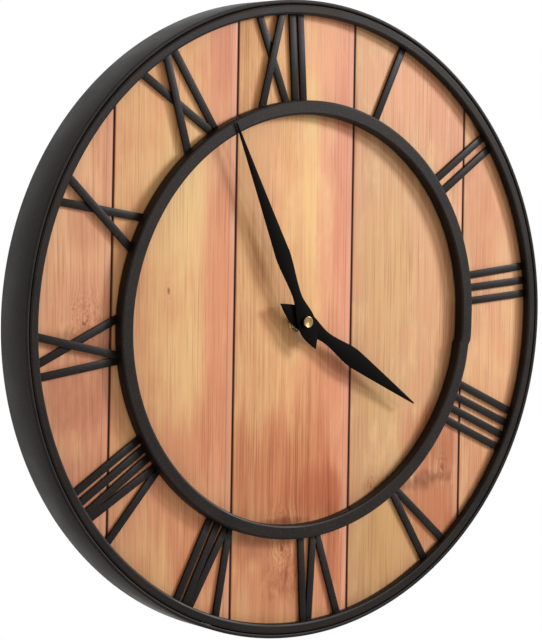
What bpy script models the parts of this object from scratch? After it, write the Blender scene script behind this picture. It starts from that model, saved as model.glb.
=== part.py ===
"""Round wall clock: welded iron frame, plank face, leaf hands and a quartz movement.

Metres, +Z up, the front towards -Y. The origin is the hanging point: the nail's axis in
the wall's plane. Every piece hangs on an empty at the dial's centre, which is turned so
that its own x is right, y is up and z comes out of the wall.
"""
import math

import bmesh
import bpy

# Driving dimensions of the iron frame
dial_radius = 0.200
rim_depth = 0.0296
band_wall = 0.0024
band_edge_round = 0.0007
front_ring_width = 0.0063
front_ring_edge = 0.0014
wood_recess = 0.0062
numeral_height = 0.0534
inner_ring_width = 0.0089
inner_ring_edge = 0.0014
inner_ring_rise = 0.0022
bar_width = 0.0048
bar_thickness = 0.0017
weld_bite = 0.0003
hanger_plate_thickness = 0.0015
hanger_plate_lift = 0.0010
hanger_plate_margin = 0.0057
hanger_plate_half_angle = math.radians(9)
keyhole_slot_radius = 0.00225
keyhole_head_radius = 0.0045
keyhole_inset = 0.0213
keyhole_drop = 0.0085

# Driving dimensions of the wooden face
plank_count = 5
outer_plank_width = 0.0590
plank_gap = 0.0006
plank_thickness = 0.0064
board_clearance = 0.0006
board_turn = math.radians(-5.7)
backing_thickness = 0.0025
retaining_ring_width = 0.0060
retaining_ring_thickness = 0.0020

# Driving dimensions of the movement's case, its clamping and its cell
case_side = 0.056
case_wall = 0.0012
case_front_wall = 0.0009
case_lift = 0.0004
movement_clearance = 0.0005
cover_lift = 0.0016
cover_thickness = 0.0010
rubber_washer_thickness = 0.0008
rubber_washer_radius = 0.0100
bushing_flange_radius = 0.0060
bushing_radius = 0.0039
bushing_bore_radius = 0.00275
bushing_rise = 0.0046
washer_radius = 0.0075
washer_thickness = 0.0008
nut_across_flats = 0.0110
nut_height = 0.0025
cell_radius = 0.0070
cell_length = 0.0490
cell_edge = 0.0006
cell_nub_radius = 0.0027
cell_nub_length = 0.0011
contact_thickness = 0.0004
contact_width = 0.0080

# Driving dimensions of the wheels, the motor and the setting knob
wheel_thickness = 0.0009
level_pitch = 0.0012
tooth_depth = 0.0005
arbor_radius = 0.0004
hour_tube_radius = 0.0026
hour_tube_bore_radius = 0.00205
minute_shaft_radius = 0.0019
minute_thread_radius = 0.0014
cannon_teeth = 12
minute_wheel_teeth = 36
minute_pinion_teeth = 10
hour_wheel_teeth = 40
going_pinion_teeth = 8
centre_wheel_teeth = 64
third_wheel_teeth = 60
seconds_wheel_teeth = 48
intermediate_wheel_teeth = 40
minute_wheel_distance = 0.0120
minute_wheel_direction = math.radians(62)
knob_direction = math.radians(8)
third_wheel_distance = 0.0102
third_wheel_direction = math.radians(150)
intermediate_wheel_distance = 0.0104
intermediate_wheel_direction = math.radians(205)
rotor_distance = 0.0072
rotor_direction = math.radians(172)
rotor_magnet_radius = 0.0032
rotor_magnet_height = 0.0026
rotor_magnet_lift = 0.0017
stator_thickness = 0.0010
stator_margin = 0.0022
stator_arm_clearance = 0.0006
coil_core_radius = 0.0008
coil_radius = 0.0025
coil_length = 0.0200
bobbin_flange_radius = 0.0027
bobbin_flange_thickness = 0.0008
bobbin_wall = 0.0004
circuit_width = 0.0150
circuit_height = 0.0110
circuit_thickness = 0.0010
chip_side = 0.0055
chip_thickness = 0.0010
knob_radius = 0.0055
knob_height = 0.0010
knob_arbor_radius = 0.0020
knob_ridge = 0.0005
knob_ridge_count = 24

# Driving dimensions of the hands
hand_thickness = 0.0008
hour_hand_lift = 0.0014
hour_hand_length = 0.1056
hour_hand_tail = 0.0224
hour_hand_blade_width = 0.0122
hour_hand_angle = math.radians(-127.2)
minute_hand_lift = 0.0030
minute_hand_length = 0.1346
minute_hand_tail = 0.0190
minute_hand_blade_width = 0.0107
minute_hand_angle = math.radians(18.3)
hand_hub_width = 0.0136
hand_neck_width = 0.0068
hand_neck_distance = 0.0094
hand_tip_width = 0.0012
collet_radius = 0.0040
collet_neck_radius = 0.0033
collet_rise = 0.0003
minute_nut_radius = 0.00385
minute_nut_height = 0.0026
minute_nut_dish = 0.0004
minute_nut_end_wall = 0.0009

# Gaps, overruns and the fineness of round shapes
seat_gap = 0.0003
run_gap = 0.00015
overrun = 0.0020
merge_distance = 0.00001
ring_steps = 120
small_ring_steps = 96
wheel_sides = 24
arbor_sides = 12
arc_step = math.radians(3)
keyhole_step = math.radians(24)

# Heights above the wall, along the dial's axis
lip_z = rim_depth
wood_z = lip_z - wood_recess
plank_back_z = wood_z - plank_thickness
backing_front_z = plank_back_z - seat_gap
backing_back_z = backing_front_z - backing_thickness
retaining_front_z = backing_back_z - seat_gap
bar_back_z = wood_z + seat_gap
inner_ring_front_z = lip_z + inner_ring_rise
flange_front_z = plank_back_z - seat_gap
flange_back_z = flange_front_z - rubber_washer_thickness
case_front_z = flange_back_z - seat_gap
case_inner_z = case_front_z - case_front_wall
cover_front_z = cover_lift + cover_thickness
case_ledge_z = cover_front_z + seat_gap
arbor_front_z = case_inner_z - seat_gap
arbor_back_z = case_ledge_z
magnet_back_z = arbor_back_z + rotor_magnet_lift
motor_z = magnet_back_z + rotor_magnet_height / 2
cell_z = case_inner_z - seat_gap - cell_radius
washer_back_z = wood_z + seat_gap
nut_back_z = washer_back_z + washer_thickness + seat_gap
bushing_front_z = wood_z + bushing_rise
hour_hand_z = lip_z + hour_hand_lift
hour_tube_front_z = hour_hand_z + hand_thickness + collet_rise
minute_hand_z = lip_z + minute_hand_lift
minute_nut_back_z = minute_hand_z + hand_thickness + seat_gap
minute_nut_front_z = minute_nut_back_z + minute_nut_height
thread_end_z = minute_nut_front_z - minute_nut_dish - minute_nut_end_wall

# Radii that follow from the frame
band_inner_radius = dial_radius - band_wall
front_ring_radius = band_inner_radius - seat_gap
front_ring_inner_radius = front_ring_radius - front_ring_width
inner_ring_radius = front_ring_inner_radius - numeral_height
inner_ring_inner_radius = inner_ring_radius - inner_ring_width
board_radius = band_inner_radius - board_clearance
plank_pitch = 2 * (board_radius - outer_plank_width) / (plank_count - 2)
hanger_height = front_ring_radius - keyhole_inset

# The case seen from the front: a gear room above a cell bay
case_half = case_side / 2
room_half = case_half - case_wall
bay_low = -room_half
bay_high = bay_low + 2 * (cell_radius + seat_gap)
room_low = bay_high + case_wall
cell_y = (bay_low + bay_high) / 2

# The numerals' bars. Each numeral is a list of pieces, and each piece is a list of bars
# welded to each other. A bar is given by its two ends, at the front ring and at the inner
# ring, sideways from the numeral's hour line as shares of numeral_height, and by its layer:
# 0 on the wood, 1 on top of the bar that it crosses.
numeral_shares = [
    [[(0.050, 0.035, 0)]],
    [[(-0.145, -0.149, 0)], [(0.031, 0.031, 0)]],
    [[(-0.249, -0.234, 0)], [(-0.070, -0.082, 0)], [(0.096, 0.084, 0)]],
    [[(-0.265, -0.265, 0)], [(-0.109, -0.101, 0)], [(0.057, 0.054, 0)], [(0.223, 0.216, 0)]],
    [[(-0.239, -0.009, 0), (0.122, 0.049, 0)]],
    [[(-0.282, -0.064, 0), (0.146, -0.007, 0), (0.225, 0.177, 0)]],
    [[(-0.359, -0.107, 0), (0.035, -0.057, 0), (0.113, 0.075, 0)], [(0.241, 0.199, 0)]],
    [
        [(-0.426, -0.189, 0), (-0.051, -0.135, 0), (0.027, 0.012, 0)],
        [(0.169, 0.134, 0)],
        [(0.304, 0.262, 0)],
    ],
    [[(-0.175, -0.125, 0), (0.279, -0.054, 1), (-0.032, 0.327, 0)]],
    [[(0.200, -0.157, 1), (-0.085, 0.184, 0)]],
    [[(0.211, -0.151, 1), (-0.152, 0.227, 0), (0.344, 0.301, 0)]],
    [[(0.040, -0.324, 1), (-0.257, 0.029, 0)], [(0.201, 0.167, 0)], [(0.321, 0.286, 0)]],
]

# A hand's outline in four stretches. Each pair is the place along the stretch and the half
# width, from the stretch's narrow end value to its wide one, as shares.
tail_shares = [(0.0, 0.0), (0.18, 0.36), (0.40, 0.68), (0.62, 0.88), (0.85, 1.0)]
hub_shares = [(0.08, 0.90), (0.37, 0.55), (0.70, 0.16), (1.0, 0.0)]
blade_shares = [(0.25, 0.34), (0.50, 0.76), (0.76, 1.0), (1.0, 0.98)]
point_shares = [(0.26, 0.80), (0.52, 0.50), (0.78, 0.20), (1.0, 0.0)]
belly_share = 0.36

for leftover in list(bpy.data.objects):
    bpy.data.objects.remove(leftover)

parts = bpy.data.collections.new("wall_clock")
cutters = bpy.data.collections.new("cutters")
bpy.context.scene.collection.children.link(parts)
bpy.context.scene.collection.children.link(cutters)

dial_axis = bpy.data.objects.new("dial_axis", None)
dial_axis.location = (0, 0, -hanger_height)
dial_axis.rotation_euler = (math.radians(90), 0, 0)
parts.objects.link(dial_axis)


def material(name, colour, roughness, metallic=0.0):
    made = bpy.data.materials.new(name)
    made.use_nodes = True
    shader = made.node_tree.nodes["Principled BSDF"]
    shader.inputs["Base Color"].default_value = (*colour, 1)
    shader.inputs["Roughness"].default_value = roughness
    shader.inputs["Metallic"].default_value = metallic
    return made


black_iron = material("black_iron", (0.022, 0.022, 0.024), 0.45)
black_hands = material("black_hands", (0.010, 0.010, 0.011), 0.40)
brass = material("brass", (0.62, 0.45, 0.17), 0.28, 1.0)
zinc_steel = material("zinc_steel", (0.62, 0.63, 0.64), 0.35, 1.0)
hardboard = material("hardboard", (0.30, 0.20, 0.12), 0.80)
case_plastic = material("case_plastic", (0.030, 0.030, 0.032), 0.50)
wheel_plastic = material("wheel_plastic", (0.78, 0.76, 0.70), 0.45)
rubber = material("rubber", (0.040, 0.040, 0.040), 0.85)
copper_wire = material("copper_wire", (0.55, 0.22, 0.08), 0.35, 1.0)
circuit_green = material("circuit_green", (0.02, 0.16, 0.07), 0.50)
cell_jacket = material("cell_jacket", (0.10, 0.11, 0.13), 0.35, 0.4)
pale_plank = material("pale_plank", (0.66, 0.43, 0.22), 0.62)
pink_plank = material("pink_plank", (0.62, 0.36, 0.22), 0.62)


def make_helper(obj):
    """Keep an object as a modifier's operand only, out of the model."""
    cutters.objects.link(obj)
    obj.hide_render = True
    obj.display_type = "WIRE"


def place(obj, look, z=0.0, x=0.0, y=0.0, turn=0.0, helper=False):
    """Hang an object on the dial's axis, as a piece with its material or as a helper."""
    obj.parent = dial_axis
    obj.location = (x, y, z)
    obj.rotation_euler = (0, 0, turn)
    if helper:
        make_helper(obj)
    else:
        parts.objects.link(obj)
        obj.data.materials.append(look)
    return obj


def turned(name, profile, steps, look=None, closed=True, smooth=False, **where):
    """A profile of (radius, height) points, run down its outer side, turned about the axis.
    A solid turned piece has its two ends on the axis and isn't closed."""
    mesh = bpy.data.meshes.new(name)
    count = len(profile)
    edges = [(i, (i + 1) % count) for i in range(count if closed else count - 1)]
    mesh.from_pydata([(radius, 0, height) for radius, height in profile], edges, [])
    obj = place(bpy.data.objects.new(name, mesh), look, **where)
    screw = obj.modifiers.new("turn", "SCREW")
    screw.steps = steps
    screw.render_steps = steps
    screw.use_merge_vertices = True
    screw.merge_threshold = merge_distance
    screw.use_smooth_shade = smooth
    return obj


def flat(name, outlines, low, high, look, **where):
    """A flat outline, with any holes after it, extruded from low to high, as a mesh."""
    curve = bpy.data.curves.new(name, "CURVE")
    curve.dimensions = "2D"
    curve.fill_mode = "BOTH"
    curve.extrude = (high - low) / 2
    for outline in outlines:
        spline = curve.splines.new("POLY")
        spline.points.add(len(outline) - 1)
        spline.use_cyclic_u = True
        for point, (x, y) in zip(spline.points, outline):
            point.co = (x, y, 0, 1)
    shape = bpy.data.objects.new(name + "_outline", curve)
    parts.objects.link(shape)
    bpy.context.view_layer.update()
    graph = bpy.context.evaluated_depsgraph_get()
    mesh = bpy.data.meshes.new_from_object(shape.evaluated_get(graph))
    bpy.data.objects.remove(shape)
    mesh.name = name
    work = bmesh.new()
    work.from_mesh(mesh)
    bmesh.ops.remove_doubles(work, verts=work.verts, dist=merge_distance)
    bmesh.ops.translate(work, verts=work.verts, vec=(0, 0, (low + high) / 2))
    bmesh.ops.recalc_face_normals(work, faces=work.faces)
    work.to_mesh(mesh)
    work.free()
    return place(bpy.data.objects.new(name, mesh), look, **where)


def box(name, low, high, look=None, **where):
    """A box between two corners."""
    work = bmesh.new()
    bmesh.ops.create_cube(work, size=1)
    bmesh.ops.scale(work, vec=[b - a for a, b in zip(low, high)], verts=work.verts)
    bmesh.ops.translate(work, vec=[(a + b) / 2 for a, b in zip(low, high)], verts=work.verts)
    mesh = bpy.data.meshes.new(name)
    work.to_mesh(mesh)
    work.free()
    return place(bpy.data.objects.new(name, mesh), look, **where)


def combine(obj, other, operation):
    step = obj.modifiers.new(other.name, "BOOLEAN")
    step.operation = operation
    step.object = other


def weld(obj, other):
    """Unite two pieces into one body, and keep the second as a helper."""
    parts.objects.unlink(other)
    make_helper(other)
    combine(obj, other, "UNION")


def tube_profile(outer, inner, low, high):
    return [(outer, high), (outer, low), (inner, low), (inner, high)]


def rod_profile(radius, low, high):
    return [(0, high), (radius, high), (radius, low), (0, low)]


def arc(radius, start, end, step, x=0.0, y=0.0):
    count = max(1, round(abs(end - start) / step))
    angles = [start + (end - start) * i / count for i in range(count + 1)]
    return [(x + radius * math.cos(angle), y + radius * math.sin(angle)) for angle in angles]


def circle(radius, sides, x=0.0, y=0.0):
    return arc(radius, 0, math.tau, math.tau / sides, x, y)[:-1]


def star(tip, root, points):
    """A toothed outline that runs between two radii."""
    half_step = math.pi / points
    radii = (tip, root)
    return [
        (radii[i % 2] * math.cos(i * half_step), radii[i % 2] * math.sin(i * half_step))
        for i in range(2 * points)
    ]


def make_rim_band():
    """Hoop of flat iron that stands on the wall, with a rounded front edge."""
    round_over = arc(band_edge_round, math.radians(90), 0, math.radians(45))
    corner_x = dial_radius - band_edge_round
    corner_z = lip_z - band_edge_round
    profile = [(corner_x + x, corner_z + z) for x, z in round_over]
    profile += [
        (dial_radius, 0),
        (band_inner_radius, 0),
        (band_inner_radius, corner_z),
        (band_inner_radius + band_edge_round, lip_z),
    ]
    turned("rim_band", profile, ring_steps, black_iron, smooth=True)


def make_ring(name, outer, inner, front, edge, steps):
    """Iron ring on the wood, with both front edges bevelled."""
    back = wood_z + seat_gap
    profile = [
        (outer - edge, front),
        (outer, front - edge),
        (outer, back),
        (inner, back),
        (inner, front - edge),
        (inner + edge, front),
    ]
    turned(name, profile, steps, black_iron, smooth=True)


def make_rings():
    """Front ring inside the hoop, level with its lip, and inner ring of thicker bar, which stands out more."""
    front_radii = (front_ring_radius, front_ring_inner_radius)
    inner_radii = (inner_ring_radius, inner_ring_inner_radius)
    make_ring("front_ring", *front_radii, lip_z, front_ring_edge, ring_steps)
    make_ring("inner_ring", *inner_radii, inner_ring_front_z, inner_ring_edge, small_ring_steps)


def on_circle(offset, slope, radius):
    """The upper point of a circle that lies on the line x = offset + slope * y."""
    a = 1 + slope * slope
    b = offset * slope
    y = (-b + math.sqrt(b * b - a * (offset * offset - radius * radius))) / a
    return (offset + slope * y, y)


def bar_outline(outer_share, inner_share):
    """A flat bar from the inner ring up to the front ring, its ends cut to both rings."""
    high = front_ring_inner_radius - seat_gap
    low = inner_ring_radius + seat_gap
    outer_x = outer_share * numeral_height
    inner_x = inner_share * numeral_height
    slope = (outer_x - inner_x) / (math.sqrt(high**2 - outer_x**2) - math.sqrt(low**2 - inner_x**2))
    offset = outer_x - slope * math.sqrt(high**2 - outer_x**2)
    half = bar_width / 2 * math.sqrt(1 + slope * slope)
    ends = [(-half, low), (half, low), (half, high), (-half, high)]
    return [on_circle(offset + side, slope, radius) for side, radius in ends]


def make_numerals():
    """Roman numerals of flat bar on the wood, each piece a bar or a few bars welded where they meet."""
    for hour, pieces in enumerate(numeral_shares, start=1):
        for number, bars in enumerate(pieces, start=1):
            name = f"numeral_{hour:02d}"
            if len(pieces) > 1:
                name += f"_piece_{number}"
            made = []
            for outer_share, inner_share, layer in bars:
                back = bar_back_z + layer * (bar_thickness - weld_bite)
                outline = bar_outline(outer_share, inner_share)
                turn = -math.tau * hour / len(numeral_shares)
                made.append(flat(name, [outline], back, back + bar_thickness, black_iron, turn=turn))
            for other in made[1:]:
                weld(made[0], other)


def make_hanger_plate():
    """Keyhole plate, welded to the hoop by its curved top edge."""
    top = math.radians(90)
    edge = arc(front_ring_radius, top - hanger_plate_half_angle, top + hanger_plate_half_angle, arc_step)
    head_y = hanger_height - keyhole_drop
    bottom = head_y - keyhole_head_radius - hanger_plate_margin
    half_width = edge[0][0]
    outline = edge + [(-half_width, bottom), (half_width, bottom)]
    neck = math.asin(keyhole_slot_radius / keyhole_head_radius)
    slot = arc(keyhole_slot_radius, 0, math.pi, keyhole_step, y=hanger_height)
    head = arc(keyhole_head_radius, top + neck, top - neck + math.tau, keyhole_step, y=head_y)
    front = hanger_plate_lift + hanger_plate_thickness
    flat("hanger_plate", [outline, slot + head], hanger_plate_lift, front, zinc_steel)


def make_retaining_ring():
    """Ring of flat bar, pressed into the hoop behind the face."""
    inner = front_ring_radius - retaining_ring_width
    back = retaining_front_z - retaining_ring_thickness
    profile = tube_profile(front_ring_radius, inner, back, retaining_front_z)
    turned("retaining_ring", profile, small_ring_steps, zinc_steel, smooth=True)


def plank_outline(start, end):
    """The strip of the round face between two seams, given by the angles at which they meet
    the face's edge above the middle. An outer plank has its second seam at 0 or at pi."""
    if start == 0:
        return arc(board_radius, -end, end, arc_step)
    if end == math.pi:
        return arc(board_radius, start, math.tau - start, arc_step)
    return arc(board_radius, start, end, arc_step) + arc(board_radius, -end, -start, arc_step)


def make_planks():
    """Planks side by side, turned a little in the frame, with the bushing's hole in the middle one."""
    middle = plank_count // 2
    for i in range(plank_count):
        centre_x = (i - middle) * plank_pitch
        half_width = (plank_pitch - plank_gap) / 2
        start = 0 if i == plank_count - 1 else math.acos((centre_x + half_width) / board_radius)
        end = math.pi if i == 0 else math.acos((centre_x - half_width) / board_radius)
        outlines = [plank_outline(start, end)]
        if i == middle:
            outlines.append(circle(bushing_radius + seat_gap, wheel_sides))
        look = pale_plank if i % 2 else pink_plank
        flat(f"plank_{i + 1}", outlines, plank_back_z, wood_z, look, turn=board_turn)


def make_backing_board():
    """Round board that the planks are glued to, with a window for the movement."""
    reach = case_half + movement_clearance
    window = [(-reach, -reach), (-reach, reach), (reach, reach), (reach, -reach)]
    edge = arc(board_radius, 0, math.tau, arc_step)[:-1]
    flat("backing_board", [edge, window], backing_back_z, backing_front_z, hardboard)


def make_movement_case():
    """Square tray with its open side to the wall: a gear room, and below it a bay for the cell."""
    low = (-case_half, -case_half, case_lift)
    case = box("movement_case", low, (case_half, case_half, case_front_z), case_plastic)
    back = case_lift - overrun
    room = box("gear_room", (-room_half, room_low, back), (room_half, room_half, case_inner_z), helper=True)
    bay = box("cell_bay", (-room_half, bay_low, back), (room_half, bay_high, case_inner_z), helper=True)
    beyond = case_half + overrun
    ledge = box("cover_ledge", (-beyond, bay_high, back), (beyond, beyond, case_ledge_z), helper=True)
    hole_profile = rod_profile(bushing_radius + seat_gap, case_inner_z - overrun, case_front_z + overrun)
    hole = turned("bushing_hole", hole_profile, wheel_sides, closed=False, helper=True)
    for cutter in (room, bay, ledge, hole):
        combine(case, cutter, "DIFFERENCE")


def make_movement_cover():
    """Flat cover on the back of the gear room, with a hole for the setting knob's arbor."""
    low = bay_high + seat_gap
    edge = [(-case_half, low), (case_half, low), (case_half, case_half), (-case_half, case_half)]
    knob_hole = circle(knob_arbor_radius + run_gap, wheel_sides, *knob_place)
    flat("movement_cover", [edge, knob_hole], cover_lift, cover_front_z, case_plastic)


def make_cell_and_contacts():
    """AA cell across the bay, a plate on its plus end and a folded spring on its minus end."""
    half = cell_length / 2
    profile = [
        (0, half + cell_nub_length),
        (cell_nub_radius, half + cell_nub_length),
        (cell_nub_radius, half),
        (cell_radius - cell_edge, half),
        (cell_radius, half - cell_edge),
        (cell_radius, -half + cell_edge),
        (cell_radius - cell_edge, -half),
        (0, -half),
    ]
    cell = turned("battery_cell", profile, wheel_sides, cell_jacket, closed=False, z=cell_z, y=cell_y)
    cell.rotation_euler = (0, math.radians(90), 0)
    low = cell_y - contact_width / 2
    high = cell_y + contact_width / 2
    wall = room_half - seat_gap
    plus = half + cell_nub_length + seat_gap
    minus = half + seat_gap
    box("contact_plus", (plus, low, case_lift), (plus + contact_thickness, high, arbor_front_z), zinc_steel)
    spring = box("contact_minus", (-wall, low, case_lift), (-minus, high, arbor_front_z), zinc_steel)
    fold = box(
        "contact_fold",
        (-wall + contact_thickness, low - overrun, case_lift - overrun),
        (-minus - contact_thickness, high + overrun, arbor_front_z - contact_thickness),
        helper=True,
    )
    combine(spring, fold, "DIFFERENCE")


def make_bushing_and_nut():
    """Threaded bushing through the face, sealed by a rubber washer and clamped by a washer and nut."""
    profile = [
        (bushing_radius, bushing_front_z),
        (bushing_radius, flange_front_z),
        (bushing_flange_radius, flange_front_z),
        (bushing_flange_radius, flange_back_z),
        (bushing_radius, flange_back_z),
        (bushing_radius, case_inner_z),
        (bushing_bore_radius, case_inner_z),
        (bushing_bore_radius, bushing_front_z),
    ]
    turned("threaded_bushing", profile, wheel_sides, brass, smooth=True)
    seal_bore = bushing_flange_radius + seat_gap
    seal = tube_profile(rubber_washer_radius, seal_bore, flange_back_z, flange_front_z)
    turned("rubber_washer", seal, wheel_sides, rubber, smooth=True)
    bore = bushing_radius + seat_gap
    washer = tube_profile(washer_radius, bore, washer_back_z, washer_back_z + washer_thickness)
    turned("clamp_washer", washer, wheel_sides, brass, smooth=True)
    corner_radius = nut_across_flats / 2 / math.cos(math.pi / 6)
    outlines = [circle(corner_radius, 6), circle(bore, wheel_sides)]
    flat("hex_nut", outlines, nut_back_z, nut_back_z + nut_height, brass)


def beside(start, distance, direction):
    """The place of an arbor whose wheel meshes with the one at start."""
    return (start[0] + distance * math.cos(direction), start[1] + distance * math.sin(direction))


centre_place = (0, 0)
minute_wheel_place = beside(centre_place, minute_wheel_distance, minute_wheel_direction)
knob_place = beside(minute_wheel_place, minute_wheel_distance, knob_direction)
third_place = beside(centre_place, third_wheel_distance, third_wheel_direction)
intermediate_place = beside(centre_place, intermediate_wheel_distance, intermediate_wheel_direction)
rotor_place = beside(intermediate_place, rotor_distance, rotor_direction)


def level_front(level):
    """The front side of the gears in a level, counted from the case's front wall."""
    return arbor_front_z - (level - 1) * level_pitch


def level_back(level):
    return level_front(level) - wheel_thickness


def gear(name, place_at, distance, teeth, mate_teeth, level, bore=None):
    """A toothed wheel that meshes with a mate at a distance. Its teeth stop half the seat gap
    short of the pitch circle, so that the two never touch."""
    tip = distance * teeth / (teeth + mate_teeth) - seat_gap / 2
    outlines = [star(tip, tip - tooth_depth, teeth)]
    if bore:
        outlines.append(circle(bore, wheel_sides))
    x, y = place_at
    return flat(name, outlines, level_back(level), level_front(level), wheel_plastic, x=x, y=y)


def arbor(name, profile, look, place_at, sides=arbor_sides):
    x, y = place_at
    return turned(name, profile, sides, look, closed=False, x=x, y=y)


def wheel_and_pinion(name, place_at, wheel, pinion):
    """An arbor across the gear room with a wheel and a pinion. Each of the two is given by its
    distance from its mate, its teeth, its mate's teeth and its level."""
    body = arbor(name, rod_profile(arbor_radius, arbor_back_z, arbor_front_z), wheel_plastic, place_at)
    weld(body, gear(name + "_teeth", place_at, *wheel))
    weld(body, gear(name + "_pinion", place_at, *pinion))


def make_motion_work():
    """Minute shaft with its cannon pinion, minute wheel, and hour wheel with its tube."""
    shaft_profile = [
        (0, thread_end_z),
        (minute_thread_radius, thread_end_z),
        (minute_thread_radius, minute_hand_z - seat_gap),
        (minute_shaft_radius, minute_hand_z - seat_gap),
        (minute_shaft_radius, level_back(3)),
        (0, level_back(3)),
    ]
    shaft = arbor("minute_shaft", shaft_profile, brass, centre_place, wheel_sides)
    cannon_pinion = (minute_wheel_distance, cannon_teeth, minute_wheel_teeth, 2)
    weld(shaft, gear("cannon_pinion", centre_place, *cannon_pinion))
    minute_wheel = (minute_wheel_distance, minute_wheel_teeth, cannon_teeth, 2)
    minute_pinion = (minute_wheel_distance, minute_pinion_teeth, hour_wheel_teeth, 1)
    wheel_and_pinion("minute_wheel", minute_wheel_place, minute_wheel, minute_pinion)
    tube = tube_profile(hour_tube_radius, hour_tube_bore_radius, level_back(1), hour_tube_front_z)
    hour_wheel = turned("hour_wheel", tube, wheel_sides, wheel_plastic)
    hour_mesh = (minute_wheel_distance, hour_wheel_teeth, minute_pinion_teeth, 1)
    weld(hour_wheel, gear("hour_wheel_teeth", centre_place, *hour_mesh, bore=hour_tube_bore_radius))


def make_setting_knob():
    """Ridged knob on the movement's back, whose pinion turns the minute wheel."""
    knob_front = cover_lift - seat_gap
    knob_back = knob_front - knob_height
    profile = [
        (0, arbor_front_z),
        (arbor_radius, arbor_front_z),
        (arbor_radius, level_back(2)),
        (knob_arbor_radius, level_back(2)),
        (knob_arbor_radius, knob_back + knob_height / 2),
        (0, knob_back + knob_height / 2),
    ]
    knob = arbor("setting_knob", profile, case_plastic, knob_place, wheel_sides)
    x, y = knob_place
    grip = star(knob_radius, knob_radius - knob_ridge, knob_ridge_count)
    weld(knob, flat("knob_grip", [grip], knob_back, knob_front, case_plastic, x=x, y=y))
    weld(knob, gear("knob_pinion", knob_place, minute_wheel_distance, cannon_teeth, minute_wheel_teeth, 2))


def make_going_train():
    """Centre, third, seconds and intermediate wheels, from the minute shaft to the rotor."""
    pinion = going_pinion_teeth
    centre_wheel = (third_wheel_distance, centre_wheel_teeth, pinion, 3)
    gear("centre_wheel", centre_place, *centre_wheel, bore=minute_shaft_radius + run_gap)
    third_wheel = (third_wheel_distance, third_wheel_teeth, pinion, 4)
    third_pinion = (third_wheel_distance, pinion, centre_wheel_teeth, 3)
    wheel_and_pinion("third_wheel", third_place, third_wheel, third_pinion)
    seconds_profile = rod_profile(arbor_radius, arbor_back_z, level_front(4))
    seconds = arbor("seconds_wheel", seconds_profile, wheel_plastic, centre_place)
    seconds_mesh = (intermediate_wheel_distance, seconds_wheel_teeth, pinion, 5)
    weld(seconds, gear("seconds_teeth", centre_place, *seconds_mesh))
    weld(seconds, gear("seconds_pinion", centre_place, third_wheel_distance, pinion, third_wheel_teeth, 4))
    intermediate_wheel = (rotor_distance, intermediate_wheel_teeth, pinion, 6)
    intermediate_pinion = (intermediate_wheel_distance, pinion, seconds_wheel_teeth, 5)
    wheel_and_pinion("intermediate_wheel", intermediate_place, intermediate_wheel, intermediate_pinion)
    magnet_front_z = magnet_back_z + rotor_magnet_height
    rotor_profile = [
        (0, arbor_front_z),
        (arbor_radius, arbor_front_z),
        (arbor_radius, magnet_front_z),
        (rotor_magnet_radius, magnet_front_z),
        (rotor_magnet_radius, magnet_back_z),
        (arbor_radius, magnet_back_z),
        (arbor_radius, arbor_back_z),
        (0, arbor_back_z),
    ]
    rotor = arbor("rotor", rotor_profile, zinc_steel, rotor_place, wheel_sides)
    weld(rotor, gear("rotor_pinion", rotor_place, rotor_distance, pinion, intermediate_wheel_teeth, 6))


def make_stator_and_coil():
    """Stator plate round the rotor, whose arms run up through the coil."""
    x, y = rotor_place
    hole_radius = rotor_magnet_radius + seat_gap
    margin = hole_radius + stator_margin
    leg = 2 * coil_core_radius
    left = x - margin
    right = x + margin
    far_right = left + coil_length + 2 * leg
    coil_y = room_half - bobbin_flange_radius - seat_gap
    top = coil_y + coil_core_radius
    arm_low = arbor_radius + stator_arm_clearance
    outline = [
        (left, y - margin),
        (right, y - margin),
        (right, arm_low),
        (far_right, arm_low),
        (far_right, top),
        (left, top),
    ]
    window = [
        (left + leg, arm_low + leg),
        (left + leg, top - leg),
        (far_right - leg, top - leg),
        (far_right - leg, arm_low + leg),
    ]
    rotor_hole = circle(hole_radius, wheel_sides, x, y)
    back = motor_z - stator_thickness / 2
    flat("stator", [outline, window, rotor_hole], back, back + stator_thickness, zinc_steel)

    half_length = coil_length / 2 - seat_gap
    cheek = half_length - bobbin_flange_thickness
    bore = math.hypot(coil_core_radius, stator_thickness / 2) + seat_gap
    barrel = bore + bobbin_wall
    bobbin_profile = [
        (bobbin_flange_radius, half_length),
        (bobbin_flange_radius, cheek),
        (barrel, cheek),
        (barrel, -cheek),
        (bobbin_flange_radius, -cheek),
        (bobbin_flange_radius, -half_length),
        (bore, -half_length),
        (bore, half_length),
    ]
    winding_profile = tube_profile(coil_radius, barrel + seat_gap, -cheek + seat_gap, cheek - seat_gap)
    middle = {"x": (left + far_right) / 2, "y": coil_y, "z": motor_z}
    bobbin = turned("coil_bobbin", bobbin_profile, wheel_sides, wheel_plastic, **middle)
    winding = turned("coil_winding", winding_profile, wheel_sides, copper_wire, **middle)
    for piece in (bobbin, winding):
        piece.rotation_euler = (0, math.radians(90), 0)


def make_circuit_board():
    """Small board in the gear room's lower right corner, with its chip."""
    right = room_half - seat_gap
    left = right - circuit_width
    low = room_low + seat_gap
    back = arbor_back_z + seat_gap
    front = back + circuit_thickness
    board = box("circuit_board", (left, low, back), (right, low + circuit_height, front), circuit_green)
    chip_x = (left + right) / 2 - chip_side / 2
    chip_y = low + circuit_height / 2 - chip_side / 2
    chip = box(
        "circuit_chip",
        (chip_x, chip_y, back + circuit_thickness / 2),
        (chip_x + chip_side, chip_y + chip_side, front + chip_thickness),
        helper=True,
    )
    combine(board, chip, "UNION")


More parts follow.
